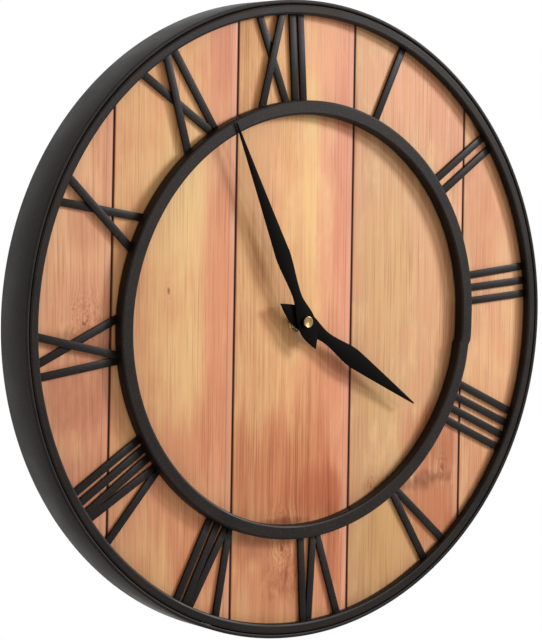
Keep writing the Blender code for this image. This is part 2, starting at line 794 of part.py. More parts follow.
def hand_outline(length, tail, blade_width):
    """A leaf tail, a round hub narrowing to the neck, and a leaf blade with a fine point."""
    hub = hand_hub_width / 2
    neck = hand_neck_width / 2
    blade = blade_width / 2
    tip = hand_tip_width / 2
    belly = length * belly_share
    stretches = [
        (tail_shares, -tail, 0, 0, hub),
        (hub_shares, 0, hand_neck_distance, neck, hub),
        (blade_shares, hand_neck_distance, belly, neck, blade),
        (point_shares, belly, length, tip, blade),
    ]
    side = []
    for shares, start, end, narrow, wide in stretches:
        side += [(narrow + (wide - narrow) * out, start + (end - start) * along) for along, out in shares]
    other_side = [(-x, y) for x, y in reversed(side[1:])]
    return side + other_side


def make_hands():
    """Two leaf hands: the hour hand on its collet, the minute hand under its brass nut."""
    hour_outline = hand_outline(hour_hand_length, hour_hand_tail, hour_hand_blade_width)
    hour_hole = circle(collet_neck_radius + seat_gap, wheel_sides)
    hour_front = hour_hand_z + hand_thickness
    flat("hour_hand", [hour_outline, hour_hole], hour_hand_z, hour_front, black_hands, turn=hour_hand_angle)
    minute_outline = hand_outline(minute_hand_length, minute_hand_tail, minute_hand_blade_width)
    minute_hole = circle(minute_thread_radius + seat_gap, wheel_sides)
    minute_front = minute_hand_z + hand_thickness
    outlines = [minute_outline, minute_hole]
    flat("minute_hand", outlines, minute_hand_z, minute_front, black_hands, turn=minute_hand_angle)

    shoulder = hour_hand_z - seat_gap
    collet_back = bushing_front_z + seat_gap
    collet_bore = hour_tube_radius + run_gap
    collet_profile = [
        (collet_neck_radius, hour_tube_front_z),
        (collet_neck_radius, shoulder),
        (collet_radius, shoulder),
        (collet_radius, collet_back),
        (collet_bore, collet_back),
        (collet_bore, hour_tube_front_z),
    ]
    turned("hour_collet", collet_profile, wheel_sides, brass, smooth=True)

    thread_bore = minute_thread_radius + seat_gap
    dish_z = minute_nut_front_z - minute_nut_dish
    nut_profile = [
        (0, dish_z),
        (minute_nut_radius - 2 * minute_nut_dish, minute_nut_front_z),
        (minute_nut_radius - minute_nut_dish, minute_nut_front_z),
        (minute_nut_radius, dish_z),
        (minute_nut_radius, minute_nut_back_z),
        (thread_bore, minute_nut_back_z),
        (thread_bore, thread_end_z + seat_gap),
        (0, thread_end_z + seat_gap),
    ]
    turned("minute_nut", nut_profile, wheel_sides, brass, closed=False, smooth=True)


make_rim_band()
make_rings()
make_numerals()
make_hanger_plate()
make_retaining_ring()
make_planks()
make_backing_board()
make_movement_case()
make_movement_cover()
make_cell_and_contacts()
make_bushing_and_nut()
make_motion_work()
make_setting_knob()
make_going_train()
make_stator_and_coil()
make_circuit_board()
make_hands()
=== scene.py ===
"""Round wall clock: welded iron frame, face of five planks, leaf hands and a quartz movement."""
import functools
import math
import random

import bpy
from mathutils import Matrix, Vector


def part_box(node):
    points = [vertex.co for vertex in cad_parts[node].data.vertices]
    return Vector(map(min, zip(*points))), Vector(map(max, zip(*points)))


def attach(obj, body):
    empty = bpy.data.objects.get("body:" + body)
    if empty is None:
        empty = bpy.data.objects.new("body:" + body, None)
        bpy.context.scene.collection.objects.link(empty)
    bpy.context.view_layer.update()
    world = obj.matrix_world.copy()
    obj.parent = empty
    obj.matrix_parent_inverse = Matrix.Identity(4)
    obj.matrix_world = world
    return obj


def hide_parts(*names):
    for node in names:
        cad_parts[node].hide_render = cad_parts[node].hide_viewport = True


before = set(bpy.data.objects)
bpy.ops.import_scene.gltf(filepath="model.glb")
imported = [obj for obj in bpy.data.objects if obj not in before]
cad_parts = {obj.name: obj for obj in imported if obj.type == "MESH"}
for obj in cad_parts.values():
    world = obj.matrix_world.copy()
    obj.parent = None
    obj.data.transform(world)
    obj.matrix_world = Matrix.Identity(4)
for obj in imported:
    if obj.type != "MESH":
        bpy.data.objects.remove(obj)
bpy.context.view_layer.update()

# Camera
# The photograph looks at the clock from its left and a little from above, through a long lens.
# The planks stand upright in it and the numerals lean, so the camera is rolled with the planks.
camera_place = (-0.8581, -1.1800, 0.0018)
camera_turn = [math.radians(angle) for angle in (82.590, 3.829, -36.316)]
photo_height_pixels = 640
focal_length_pixels = 2306.6
sensor_size = 36
bpy.ops.object.select_all(action="DESELECT")
bpy.ops.object.camera_add(location=camera_place, rotation=camera_turn)
camera = bpy.context.object
camera.name = "camera"
camera.data.sensor_width = sensor_size
camera.data.lens = focal_length_pixels * sensor_size / photo_height_pixels
camera.data.shift_x = 0.00494
camera.data.shift_y = 0.02691
bpy.context.scene.camera = camera

# Iron hoop
# A strip of flat iron, 30 mm deep and 2.4 mm thick, rolled into a circle and welded shut. It stands
# on the wall and carries all the rest. Its edges are ground round before the black powder coat.
millimetre = 0.001
hoop_low, hoop_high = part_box("rim_band")
dial_radius = (hoop_high.x - hoop_low.x) / 2
dial_centre = Vector((0, 0, (hoop_high.z + hoop_low.z) / 2))
hoop_wall = 0.0024
hoop_edge = 0.0007


def linear(code):
    """An sRGB hex colour as linear red, green, blue and alpha."""
    shares = [int(code[i:i + 2], 16) / 255 for i in (1, 3, 5)]
    return (*[s / 12.92 if s <= 0.04045 else ((s + 0.055) / 1.055) ** 2.4 for s in shares], 1)


def set_node(node, *values, **named):
    """Set up a node. Values go to its inputs in the order shown. A name with a capital is an input,
    and another name is a setting. A node or an output is linked, and a hex code is a colour."""
    for name, value in named.items():
        if name[0].islower():
            setattr(node, name, value)
    chosen = list(zip([socket for socket in node.inputs if socket.enabled], values))
    chosen += [(node.inputs[name.replace("_", " ")], named[name]) for name in named if name[0].isupper()]
    for socket, value in chosen:
        if isinstance(value, bpy.types.Node):
            value = [output for output in value.outputs if output.enabled][0]
        if isinstance(value, bpy.types.NodeSocket):
            node.id_data.links.new(value, socket)
        else:
            socket.default_value = linear(value) if isinstance(value, str) else value
    return node


def add_node(tree, kind, *values, stops=(), **named):
    """Add a node with its settings and links. A colour ramp has (position, hex colour) stops."""
    node = set_node(tree.nodes.new("ShaderNode" + kind), *values, **named)
    if stops:
        elements = node.color_ramp.elements
        while len(elements) < len(stops):
            elements.new(0.5)
        for element, (position, code) in zip(elements, stops):
            element.position = position
            element.color = linear(code)
    return node


def new_material(name, **looks):
    """A material, its shader, the function that adds a node to it and the object coordinates."""
    made = bpy.data.materials.new(name)
    made.use_nodes = True
    shader = set_node(made.node_tree.nodes["Principled BSDF"], **looks)
    add = functools.partial(add_node, made.node_tree)
    return made, shader, add, add("TexCoord").outputs["Object"]


def paint(add, colour, *layers, blend="MIX"):
    """Lay (mask, colour) layers over a colour, one after another."""
    for mask, layer in layers:
        colour = add("Mix", mask, colour, layer, data_type="RGBA", blend_type=blend)
    return colour


def finish_looks(shader, add, colour, gloss, height, strength, depth):
    """Give a shader its colour, its roughness and a bump of some millimetres."""
    bump = add("Bump", Height=height, Strength=strength, Distance=depth * millimetre)
    set_node(shader, Base_Color=colour, Roughness=gloss, Normal=bump)


# Powder-coated iron: a baked satin black skin. It shows as a soft sheen that breaks up into fine
# orange peel, about a millimetre across, with grey specks of dust and a brown cast where it lies.
def powder_coat(name, dark, dusty, roughness, shine, specks):
    made, shader, add, place = new_material(name, Roughness=roughness, Specular_IOR_Level=shine)
    peel = add("TexNoise", place, 1 / (0.9 * millimetre), 3)
    patch = add("TexNoise", place, 1 / (30 * millimetre), 4)
    colour = add("ValToRGB", patch, stops=[(0.38, dark), (0.66, dusty)])
    dust = add("MapRange", peel, 0.58, 0.74, 0, specks)
    gloss = add("MapRange", patch, 0.3, 0.7, roughness - 0.06, roughness + 0.08)
    finish_looks(shader, add, paint(add, colour, (dust, "#4a423a")), gloss, peel, 0.5, 0.18)
    return made


iron_coat = powder_coat("powder_coated_iron", "#0f0b09", "#19120e", 0.44, 0.145, 0.5)


def settle(piece):
    """Apply a piece's place and its modifiers."""
    bpy.ops.object.select_all(action="DESELECT")
    piece.select_set(True)
    bpy.context.view_layer.objects.active = piece
    bpy.ops.object.transform_apply(location=True, rotation=True, scale=True)
    for modifier in list(piece.modifiers):
        bpy.ops.object.modifier_apply(modifier=modifier.name)


def finish_piece(piece, name, material, body, node, angle=32):
    """Settle a piece, give it its finish and set it on its body."""
    settle(piece)
    bpy.ops.object.shade_smooth_by_angle(angle=math.radians(angle))
    piece.name = name
    piece.data.name = name
    piece.data.materials.clear()
    piece.data.materials.append(material)
    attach(piece, body)
    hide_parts(node)


def round_edges(piece, width, segments=2, angle=40):
    """Round the edges that turn by more than an angle."""
    edges = piece.modifiers.new("edges", "BEVEL")
    edges.width = width
    edges.segments = segments
    edges.limit_method = "ANGLE"
    edges.angle_limit = math.radians(angle)


def add_disc(radius, front, back, sides=48, centre=dial_centre, ends="NGON"):
    """A disc about an axis out of the wall. Without ends it is an open drum."""
    bpy.ops.mesh.primitive_cylinder_add(
        vertices=sides,
        radius=radius,
        depth=back - front,
        end_fill_type=ends,
        location=centre + Vector((0, (front + back) / 2, 0)),
        rotation=(math.radians(90), 0, 0),
    )
    return bpy.context.object


def ring_of_bar(outer, width, front, back, edge):
    """A ring about the dial's axis: an open drum, given its wall inwards and its round edges."""
    ring = add_disc(outer, front, back, sides=288, ends="NOTHING")
    wall = ring.modifiers.new("wall", "SOLIDIFY")
    wall.thickness = width
    wall.offset = -1
    wall.use_even_offset = True
    round_edges(ring, edge, angle=50)
    settle(ring)
    return ring


hoop = ring_of_bar(dial_radius, hoop_wall, hoop_low.y, hoop_high.y, hoop_edge)
finish_piece(hoop, "iron_hoop", iron_coat, "frame", "rim_band")

# Front ring and inner ring
# Two rings of nearly square iron bar with rounded edges, which lie on the wood. The front ring fits
# inside the hoop, level with its lip. The inner ring is of thicker bar, bent by hand: it is a little
# oval, 1.6 mm off the centre, and its butt weld has left a small step at the right.
ring_widths = {"front_ring": 0.0063, "inner_ring": 0.0089}
ring_edge = 0.0014
oval_share = 0.0105
off_centre = Vector((0.0016, 0, 0.0003))
oval_direction = math.radians(40)
weld_direction = math.radians(-13)
weld_step = 0.0007
weld_reach = math.radians(7)
rings = {}
radii = {}
for node_name, width in ring_widths.items():
    low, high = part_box(node_name)
    radii[node_name] = (high.x - low.x) / 2
    rings[node_name] = ring_of_bar(radii[node_name], width, low.y, high.y, ring_edge)
inner_ring_radius = radii["inner_ring"]
front_ring_inner_radius = radii["front_ring"] - ring_widths["front_ring"]


def stretch_point(point, centre, share):
    """Move a point to a share of its distance from an axis out of the wall."""
    arm = point.co - centre
    point.co = Vector((centre.x + arm.x * share, point.co.y, centre.z + arm.z * share))


for point in rings["inner_ring"].data.vertices:
    arm = point.co - dial_centre
    angle = math.atan2(arm.z, arm.x)
    stretch = 1 + oval_share * math.cos(2 * (angle - oval_direction))
    past_weld = angle - weld_direction
    if abs(past_weld) < weld_reach:
        step = weld_step / inner_ring_radius * (1 - abs(past_weld) / weld_reach)
        stretch += math.copysign(step, past_weld)
    stretch_point(point, dial_centre, stretch)
    point.co += off_centre
for node_name, piece in rings.items():
    finish_piece(piece, "iron_" + node_name, iron_coat, "frame", node_name, angle=20)

# Roman numerals
# Thirty-six lengths of flat iron bar, 4.8 x 1.7 mm, that lie on the wood between the two rings and
# are welded to them. Where two bars cross, one lies on the other.
bar_radii = (front_ring_inner_radius, inner_ring_radius)
numeral_height = front_ring_inner_radius - inner_ring_radius
bar_width = 0.0048
bar_thickness = 0.0017
bar_bite = 0.0042
bar_edge = 0.00022
weld_bite = 0.0003
bead_radius = 0.0008
bead_depth = 0.7 * bead_radius
bead_span = 0.48 * bar_width / bead_radius
bead_flatness = 0.8
wood_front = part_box("plank_3")[0].y
seat_gap = 0.0003
beads = random.Random(12)
# Each bar has its ends at the front ring and at the inner ring, sideways from its hour's line as
# shares of the gap between the rings, and its layer: 0 on the wood, 1 on top.
numeral_bar_shares = [
    [[(0.050, 0.035, 0)]],
    [[(-0.145, -0.149, 0)], [(0.031, 0.031, 0)]],
    [[(-0.249, -0.234, 0)], [(-0.070, -0.082, 0)], [(0.096, 0.084, 0)]],
    [[(-0.265, -0.265, 0)], [(-0.109, -0.101, 0)], [(0.057, 0.054, 0)], [(0.223, 0.216, 0)]],
    [[(-0.239, -0.009, 0), (0.122, 0.049, 0)]],
    [[(-0.282, -0.064, 0), (0.146, -0.007, 0), (0.225, 0.177, 0)]],
    [[(-0.359, -0.107, 0), (0.035, -0.057, 0), (0.113, 0.075, 0)], [(0.241, 0.199, 0)]],
    [[(-0.426, -0.189, 0), (-0.051, -0.135, 0), (0.027, 0.012, 0)], [(0.169, 0.134, 0)], [(0.304, 0.262, 0)]],
    [[(-0.175, -0.125, 0), (0.279, -0.054, 1), (-0.032, 0.327, 0)]],
    [[(0.200, -0.157, 1), (-0.085, 0.184, 0)]],
    [[(0.211, -0.151, 1), (-0.152, 0.227, 0), (0.344, 0.301, 0)]],
    [[(0.040, -0.324, 1), (-0.257, 0.029, 0)], [(0.201, 0.167, 0)], [(0.321, 0.286, 0)]],
]


def add_blob(place, radius, scale, turn=0, sides=20, rows=10):
    """A ball, drawn out or pressed flat."""
    bpy.ops.mesh.primitive_uv_sphere_add(
        segments=sides, ring_count=rows, radius=radius, location=place, rotation=(0, turn, 0)
    )
    blob = bpy.context.object
    blob.scale = scale
    return blob


def add_bar(start, end, front):
    """A flat bar with rounded edges between two places on the dial, and a bead of weld at each."""
    run = end - start
    turn = math.atan2(run.x, run.z)
    middle = (start + end) / 2
    bpy.ops.mesh.primitive_cube_add(size=1, location=(middle.x, front + bar_thickness / 2, middle.z))
    bar = bpy.context.object
    bar.scale = (bar_width, bar_thickness, run.length + 2 * bar_bite)
    bar.rotation_euler = (0, turn, 0)
    round_edges(bar, bar_edge)
    settle(bar)
    made = [bar]
    for place in (start, end):
        lump = (bead_span, bead_flatness, beads.uniform(0.7, 1.15))
        made.append(add_blob((place.x, front + bead_depth, place.z), bead_radius, lump, turn, 10, 6))
    return made


def join(first, *others):
    """Make one object of several."""
    bpy.ops.object.select_all(action="DESELECT")
    for piece in (first, *others):
        piece.select_set(True)
    bpy.context.view_layer.objects.active = first
    bpy.ops.object.join()


for hour, pieces in enumerate(numeral_bar_shares, start=1):
    turn = Matrix.Rotation(math.tau * hour / 12, 4, "Y")
    for number, bars in enumerate(pieces, start=1):
        made = []
        for *shares, layer in bars:
            ends = []
            for share, radius in zip(shares, bar_radii):
                side = share * numeral_height
                ends.append(dial_centre + turn @ Vector((side, 0, math.sqrt(radius**2 - side**2))))
            front = wood_front - seat_gap - bar_thickness - layer * (bar_thickness - weld_bite)
            made += add_bar(*reversed(ends), front)
        join(*made)
        node_name = f"numeral_{hour:02d}"
        if len(pieces) > 1:
            node_name += f"_piece_{number}"
        finish_piece(made[0], "bars_" + node_name, iron_coat, "frame", node_name)

# Plank face
# Five pine planks, 6.4 mm thick, the inner three about 92 mm wide, glued to the backing board and
# sawn round. The board sits a little turned in the frame, and the planks were cut by hand, so each
# seam stands and leans a little off its even place. A dark stain has run into the seams.
plank_count = 5
board_turn = math.radians(5.7)
board_gap = 0.0006
board_radius = dial_radius - hoop_wall - board_gap
outer_plank_width = 0.0590
plank_pitch = 2 * (board_radius - outer_plank_width) / (plank_count - 2)
plank_gap = 0.0006
seam_shifts = (0, -0.0004, -0.0024, -0.0029, -0.0017, 0)
seam_leans = (0, 0.0117, 0.0045, 0, -0.0030, 0)
plank_edge = 0.0006
plank_low, plank_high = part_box("plank_3")
knot_stretch = 1.7
knot_ring_gap = 2.6
strip_width = 4.7


def grain_noise(add, across, along, size_across, size_along, seed, detail=2):
    """Noise drawn out along the grain, about size_across by size_along millimetres."""
    side = add("Math", across, size_across, operation="DIVIDE")
    rise = add("Math", along, size_along, operation="DIVIDE")
    return add("TexNoise", add("CombineXYZ", side, seed, rise), 1, detail)


def distance_to(add, place, centre, radii=(1, 1, 1), axes=(1, 0, 1)):
    """How far a place is from a centre, where 1 is the edge of an oval with these radii. Only the
    axes marked 1 count."""
    about = add("Mapping", place, centre, Scale=radii, vector_type="TEXTURE")
    return add("VectorMath", add("VectorMath", about, axes, operation="MULTIPLY"), operation="LENGTH")


def ripple(add, distance, gap):
    """Waves between -1 and 1 along a distance, with a gap from crest to crest."""
    return add("Math", add("Math", distance, math.tau / gap, operation="MULTIPLY"), operation="SINE")


# Stained pine: planed softwood with a matt varnish. The stain has taken unevenly, so soft patches of straw,
# peach and rust lie over straight fine grain, with broken dark streaks where branches grew. Towards
# the bottom of the face the patches are darker and redder.
# All places and sizes are in millimetres from the dial's centre, across the planks and up along
# them. A patch is its centre, its half width and height, its colour, how strong it is and how much
# it is broken into streaks. A knot is its centre, its core and its reach.
def stained_pine(name, seed, left, right, left_lean, right_lean, bands, lines, patches, knots):
    made, shader, add, place = new_material(name, Roughness=0.6, Specular_IOR_Level=0.3)
    board = add("Mapping", place, dial_centre, (0, board_turn, 0), [millimetre] * 3, vector_type="TEXTURE")
    parts = add("SeparateXYZ", board).outputs
    across = parts["X"]
    along = parts["Z"]

    wander = add("MapRange", grain_noise(add, across, along, 60, 330, seed), 0.2, 0.8, -3.5, 3.5)
    grain = add("Math", across, wander, operation="ADD")
    knot_distances = []
    for knot_x, knot_z, core, reach in knots:
        lumps = add("MapRange", grain_noise(add, across, along, 3, 5, seed + knot_x), 0.25, 0.75, -core, core)
        distance = distance_to(add, board, (knot_x, 0, knot_z), (1, 1, knot_stretch))
        distance = add("Math", distance, lumps, operation="ADD")
        push = add("MapRange", distance, reach, 0, 0, 0.7, interpolation_type="SMOOTHSTEP")
        side = add("Math", across, knot_x, operation="SUBTRACT")
        bend = add("Math", side, push, operation="MULTIPLY")
        grain = add("Math", grain, bend, operation="SUBTRACT")
        knot_distances.append((distance, core, reach))

    drift = add("MapRange", grain_noise(add, across, along, 22, 120, seed + 3, 3), 0.2, 0.8, -9, 9)
    band = add("MapRange", add("Math", grain, drift, operation="ADD"), left, right)
    blotch = grain_noise(add, across, along, 11, 24, seed + 7, 5)
    colour = paint(
        add,
        add("ValToRGB", band, stops=bands),
        (add("MapRange", blotch, 0.5, 0.74, 0, 0.5), "#d3906c"),
        (add("MapRange", blotch, 0.5, 0.26, 0, 0.5), "#ecc892"),
    )

    fringe = add("MapRange", grain_noise(add, grain, along, 5, 60, seed + 23, 4), 0.2, 0.8, -0.42, 0.42)
    streak = add("MapRange", grain_noise(add, across, along, 3.4, 7, seed + 29, 5), 0.36, 0.66)
    for patch_x, patch_z, half_x, half_z, code, strength, broken in patches:
        distance = distance_to(add, board, (patch_x, 0, patch_z), (half_x, 1, half_z))
        distance = add("Math", distance, fringe, operation="ADD")
        mask = add("MapRange", distance, 1.25, 0.35, 0, strength, interpolation_type="SMOOTHSTEP")
        if broken:
            mask = add("Math", mask, add("MapRange", streak, 0, 1, 1 - broken, 1), operation="MULTIPLY")
        colour = paint(add, colour, (mask, code))

    late = grain_noise(add, grain, along, 2.1, 230, seed + 11, 3)
    fibre = grain_noise(add, grain, along, 0.75, 52, seed + 13, 3)
    fleck = grain_noise(add, grain, along, 0.65, 15, seed + 19)
    clear = add("MapRange", grain_noise(add, across, along, 20, 60, seed + 17), 0.35, 0.65, 0.25, 1)
    late_lines, dark_fibre, fleck_marks = [
        add("Math", add("MapRange", noise, low, 0.72, 0, most), clear, operation="MULTIPLY")
        for noise, low, most in ((late, 0.47, 0.7 * lines), (fibre, 0.48, 0.48), (fleck, 0.64, lines))
    ]
    colour = paint(add, colour, (late_lines, "#a4673f"), (dark_fibre, "#a2673f"), blend="MULTIPLY")
    pale_fibre = add("MapRange", fibre, 0.44, 0.24, 0, 0.12)
    colour = paint(add, colour, (pale_fibre, "#fbe3bd"), (fleck_marks, "#8d5430"))
    for distance, core, reach in knot_distances:
        rings = add("MapRange", ripple(add, distance, knot_ring_gap), -0.1, 1)
        near = add("MapRange", distance, reach, core, 0, 0.42, interpolation_type="SMOOTHSTEP")
        heart = add("MapRange", distance, core, 0, 0, 0.7, interpolation_type="SMOOTHSTEP")
        ring_mask = add("Math", rings, near, operation="MULTIPLY")
        colour = paint(add, colour, (ring_mask, "#8f4f30"), (heart, "#70391f"))

    # A paler strip, 4.7 mm wide, runs along each plank's right side, and the stain has gathered in
    # the seams.
    left_seam = add("Math", along, left_lean, left, operation="MULTIPLY_ADD")
    right_seam = add("Math", along, right_lean, right, operation="MULTIPLY_ADD")
    from_left = add("Math", across, left_seam, operation="SUBTRACT")
    from_right = add("Math", right_seam, across, operation="SUBTRACT")
    near_edge = add("Math", from_right, from_left, operation="MINIMUM")
    groove = add("Math", from_right, strip_width, 0.35, operation="COMPARE")
    colour = paint(
        add,
        colour,
        (add("MapRange", from_right, strip_width + 0.1, strip_width - 0.3, 0, 0.45), "#c9917c"),
        (add("Math", groove, 0.45, operation="MULTIPLY"), "#9c6448"),
        (add("MapRange", near_edge, 1.1, 0.35, 0, 0.92), "#4f1f0e"),
    )
    gloss = add("MapRange", late, 0.3, 0.7, 0.66, 0.52)
    relief = add("Math", late, add("Math", fibre, 0.5, operation="MULTIPLY"), operation="ADD")
    finish_looks(shader, add, colour, gloss, relief, 0.2, 0.2)
    return made


plank_looks = [
    {
        "bands": [(0.0, "#e0ac87"), (0.35, "#e6b48e"), (0.7, "#e0a582"), (1.0, "#dba080")],
        "lines": 0.22,
        "patches": [
            (-168, 80, 30, 62, "#f0c49a", 0.75, 0), (-158, 62, 14, 22, "#c9866c", 0.55, 0),
            (-165, 22, 26, 16, "#dca284", 0.5, 0), (-160, -42, 34, 30, "#b5745b", 0.75, 0.2),
            (-160, -88, 26, 24, "#c68a6e", 0.6, 0), (-158, -8, 26, 9, "#965a42", 0.7, 0.5),
        ],
        "knots": [(-156, 3, 2.6, 17)],
    },
    {
        "bands": [(0.0, "#dfab80"), (0.3, "#e3b685"), (0.6, "#e3b482"), (0.8, "#dca27a"), (1.0, "#dc9f7d")],
        "lines": 0.16,
        "patches": [
            (-60, 160, 13, 34, "#cc846a", 0.75, 0), (-100, 150, 26, 40, "#dda078", 0.5, 0),
            (-87, 75, 22, 62, "#eccd94", 0.75, 0), (-82, -20, 15, 48, "#e6c48a", 0.6, 0),
            (-118, 10, 12, 60, "#dca277", 0.5, 0), (-61, 25, 12, 88, "#d58f6b", 0.7, 0),
            (-92, -92, 40, 44, "#d08b69", 0.75, 0), (-62, -60, 16, 36, "#cc8460", 0.5, 0),
            (-74, -142, 36, 36, "#c98360", 0.7, 0), (-124, -112, 16, 30, "#d99f7c", 0.5, 0),
            (-76, -106, 22, 12, "#e0ae7c", 0.5, 0.3),
        ],
        "knots": [(-97, 21, 0.8, 4)],
    },
    {
        "bands": [(0.0, "#deae7e"), (0.35, "#dcab79"), (0.6, "#e1b37d"), (0.75, "#dba07a"), (1.0, "#db9f80")],
        "lines": 0.5,
        "patches": [
            (11, 88, 8, 66, "#e6c486", 0.65, 0), (-9, 118, 8, 36, "#e0b075", 0.4, 0),
            (-28, 90, 18, 50, "#e0ab84", 0.5, 0), (34, 95, 9, 120, "#d0886a", 0.8, 0),
            (12, 176, 30, 22, "#dba27c", 0.6, 0), (20, -42, 26, 36, "#cf8866", 0.65, 0),
            (-30, -45, 14, 40, "#e0b07e", 0.5, 0), (-4, -98, 70, 48, "#bf7650", 0.85, 0),
            # The patch at (-30, -142), just below the inner ring, is dark wood round the lower knot and
            # painted shadow of the ring together.
            (20, -110, 30, 20, "#b06340", 0.85, 0), (-30, -142, 26, 13, "#9a5c3c", 0.8, 0),
            (-10, -166, 60, 34, "#c98763", 0.85, 0), (-40, -176, 7, 16, "#dcae80", 0.5, 0),
            (32, -152, 14, 36, "#b46844", 0.75, 0.2), (-6, -164, 20, 16, "#9a5534", 0.7, 0.9),
            (-10, -127, 22, 3.5, "#6f3a24", 0.85, 0.35),
        ],
        "knots": [(-9, -125, 1.6, 9), (-9, -143, 2.2, 20)],
    },
    {
        # Painted shade: these bands are darker than the middle planks' to take back the key lamp's stronger
        # light on the right of the face.
        "bands": [(0.0, "#c99c75"), (0.3, "#c9a077"), (0.6, "#c89d76"), (1.0, "#c59471")],
        "lines": 0.10,
        "patches": [
            (92, 148, 44, 34, "#cf9474", 0.7, 0), (120, 118, 18, 30, "#c48466", 0.5, 0),
            (74, 30, 24, 70, "#caa271", 0.7, 0), (112, 20, 22, 74, "#cf9f76", 0.5, 0),
            (70, -52, 24, 26, "#c9a572", 0.7, 0), (108, -74, 26, 18, "#c07d5a", 0.7, 0),
            (112, -124, 36, 30, "#b46f4c", 0.85, 0), (126, -88, 20, 22, "#a96646", 0.8, 0),
            (72, -146, 30, 38, "#c19864", 0.85, 0), (118, -106, 26, 5, "#753f27", 0.65, 0.7),
            (80, -108, 26, 7, "#8c5a38", 0.65, 0.6), (98, -110, 20, 5, "#77472d", 0.6, 0.6),
        ],
        "knots": [(122, -100, 1.6, 11), (62, -109, 1.0, 7)],
    },
    {
        # Painted shade: these bands are a little darker to take back the key lamp's stronger light on the
        # right of the face.
        "bands": [(0.0, "#d1a17c"), (0.3, "#d19e79"), (0.55, "#d3a37c"), (1.0, "#d1a27c")],
        "lines": 0.22,
        "patches": [
            (158, 60, 16, 46, "#cc8e6d", 0.6, 0), (178, 20, 14, 40, "#d7af82", 0.6, 0),
            (160, -40, 18, 40, "#d4a87b", 0.6, 0), (152, -96, 16, 30, "#c38b63", 0.5, 0),
            (146, 96, 10, 34, "#d19278", 0.5, 0),
        ],
        "knots": [],
    },
]


def split_by(piece, place, direction):
    """Cut a piece by a plane and throw away the side that the direction points to."""
    settle(piece)
    bpy.ops.object.mode_set(mode="EDIT")
    bpy.ops.mesh.select_all(action="SELECT")
    bpy.ops.mesh.bisect(plane_co=place, plane_no=direction, use_fill=True, clear_outer=True)
    bpy.ops.object.mode_set(mode="OBJECT")


sideways = Vector((math.cos(board_turn), 0, -math.sin(board_turn)))
upward = Vector((math.sin(board_turn), 0, math.cos(board_turn)))
for number, look in enumerate(plank_looks):
    plank = add_disc(board_radius, plank_low.y, plank_high.y, sides=240)
    sides = []
    for seam, direction in ((number, -1), (number + 1, 1)):
        side = (seam - plank_count / 2) * plank_pitch - direction * plank_gap / 2 + seam_shifts[seam]
        sides.append(side / millimetre)
        if 0 < seam < plank_count:
            split_by(plank, dial_centre + sideways * side, (sideways - upward * seam_leans[seam]) * direction)
    round_edges(plank, plank_edge)
    leans = seam_leans[number : number + 2]
    pine = stained_pine(f"stained_pine_{number + 1}", 10.0 * number + 3.7, *sides, *leans, **look)
    finish_piece(plank, f"pine_plank_{number + 1}", pine, "frame", f"plank_{number + 1}")

# Brass clamping: washer, hex nut and threaded bushing
# The movement's brass bushing comes through the face, with a flange behind it and a plain bore for
# the hour tube. A washer and a hex nut on its thread clamp the movement to the board. All three are
# turned on a lathe and left bright.
bushing_low, bushing_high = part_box("threaded_bushing")
flange_low, flange_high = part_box("rubber_washer")
bushing_radius = 0.0039
bushing_bore = 0.00275
flange_radius = 0.0060
thread_pitch = 0.00075
thread_depth = 0.0004
chamfer = 0.0003
tool_mark_gap = 0.3 * millimetre
overshoot = 0.002
axis_out = Vector((0, -1, 0))


# Turned brass: yellow metal with fine rings from the lathe tool, which pull each highlight out
# into a bow tie across the end faces. The rings are drawn 0.3 mm apart, coarse enough to show.
def turned_brass(name, clean, tarnished):
    made, shader, add, place = new_material(name, Roughness=0.24, Metallic=1)
    rings = ripple(add, distance_to(add, place, dial_centre), tool_mark_gap)
    tarnish = add("TexNoise", place, 1 / (2 * millimetre), 3)
    tone = add("ValToRGB", tarnish, stops=[(0.35, clean), (0.7, tarnished)])
    gloss = add("MapRange", tarnish, 0.3, 0.7, 0.20, 0.34)
    finish_looks(shader, add, tone, gloss, rings, 0.5, 0.02)
    return made


brass = turned_brass("turned_brass", "#cfb98e", "#b39a6c")


def cut(piece, *cutters):
    """Cut other objects out of a piece and delete them."""
    for cutter in cutters:
        step = piece.modifiers.new("cut", "BOOLEAN")
        step.object = cutter
        step.operation = "DIFFERENCE"
        bpy.context.view_layer.objects.active = piece
        bpy.ops.object.modifier_apply(modifier=step.name)
        bpy.data.objects.remove(cutter)


for node_name, piece_name, sides, edge in (
    ("clamp_washer", "brass_washer", 48, 0.00015),
    ("hex_nut", "brass_hex_nut", 6, 0.0003),
):
    low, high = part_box(node_name)
    piece = add_disc((high.x - low.x) / 2, low.y, high.y, sides)
    cut(piece, add_disc(bushing_radius, low.y - overshoot, high.y + overshoot))
    round_edges(piece, edge)
    finish_piece(piece, piece_name, brass, "frame", node_name)


def lathe(profile, steps=48, centre=dial_centre, axis=axis_out, closed=False):
    """Turn (radius, height) points about an axis. A closed profile makes a tube."""
    radius, height = profile[0]
    turn = axis.to_track_quat("Z", "Y").to_euler()
    bpy.ops.mesh.primitive_circle_add(
        vertices=steps, radius=radius, location=centre + axis * height, rotation=turn
    )
    piece = bpy.context.object
    bpy.ops.object.mode_set(mode="EDIT")
    bpy.ops.mesh.select_mode(type="EDGE")
    bpy.ops.mesh.select_all(action="SELECT")
    for next_radius, next_height in profile[1:] + (profile[:1] if closed else []):
        bpy.ops.mesh.extrude_region_move(TRANSFORM_OT_translate={"value": axis * (next_height - height)})
        share = next_radius / radius
        bpy.ops.transform.resize(value=(share, share, share), center_override=centre + axis * next_height)
        radius = next_radius
        height = next_height
    bpy.ops.mesh.select_all(action="SELECT")
    if closed:
        bpy.ops.mesh.remove_doubles(threshold=0.002 * millimetre)
    else:
        bpy.ops.mesh.fill_holes(sides=0)
    bpy.ops.mesh.select_all(action="SELECT")
    bpy.ops.mesh.normals_make_consistent(inside=False)
    bpy.ops.object.mode_set(mode="OBJECT")
    settle(piece)
    return piece


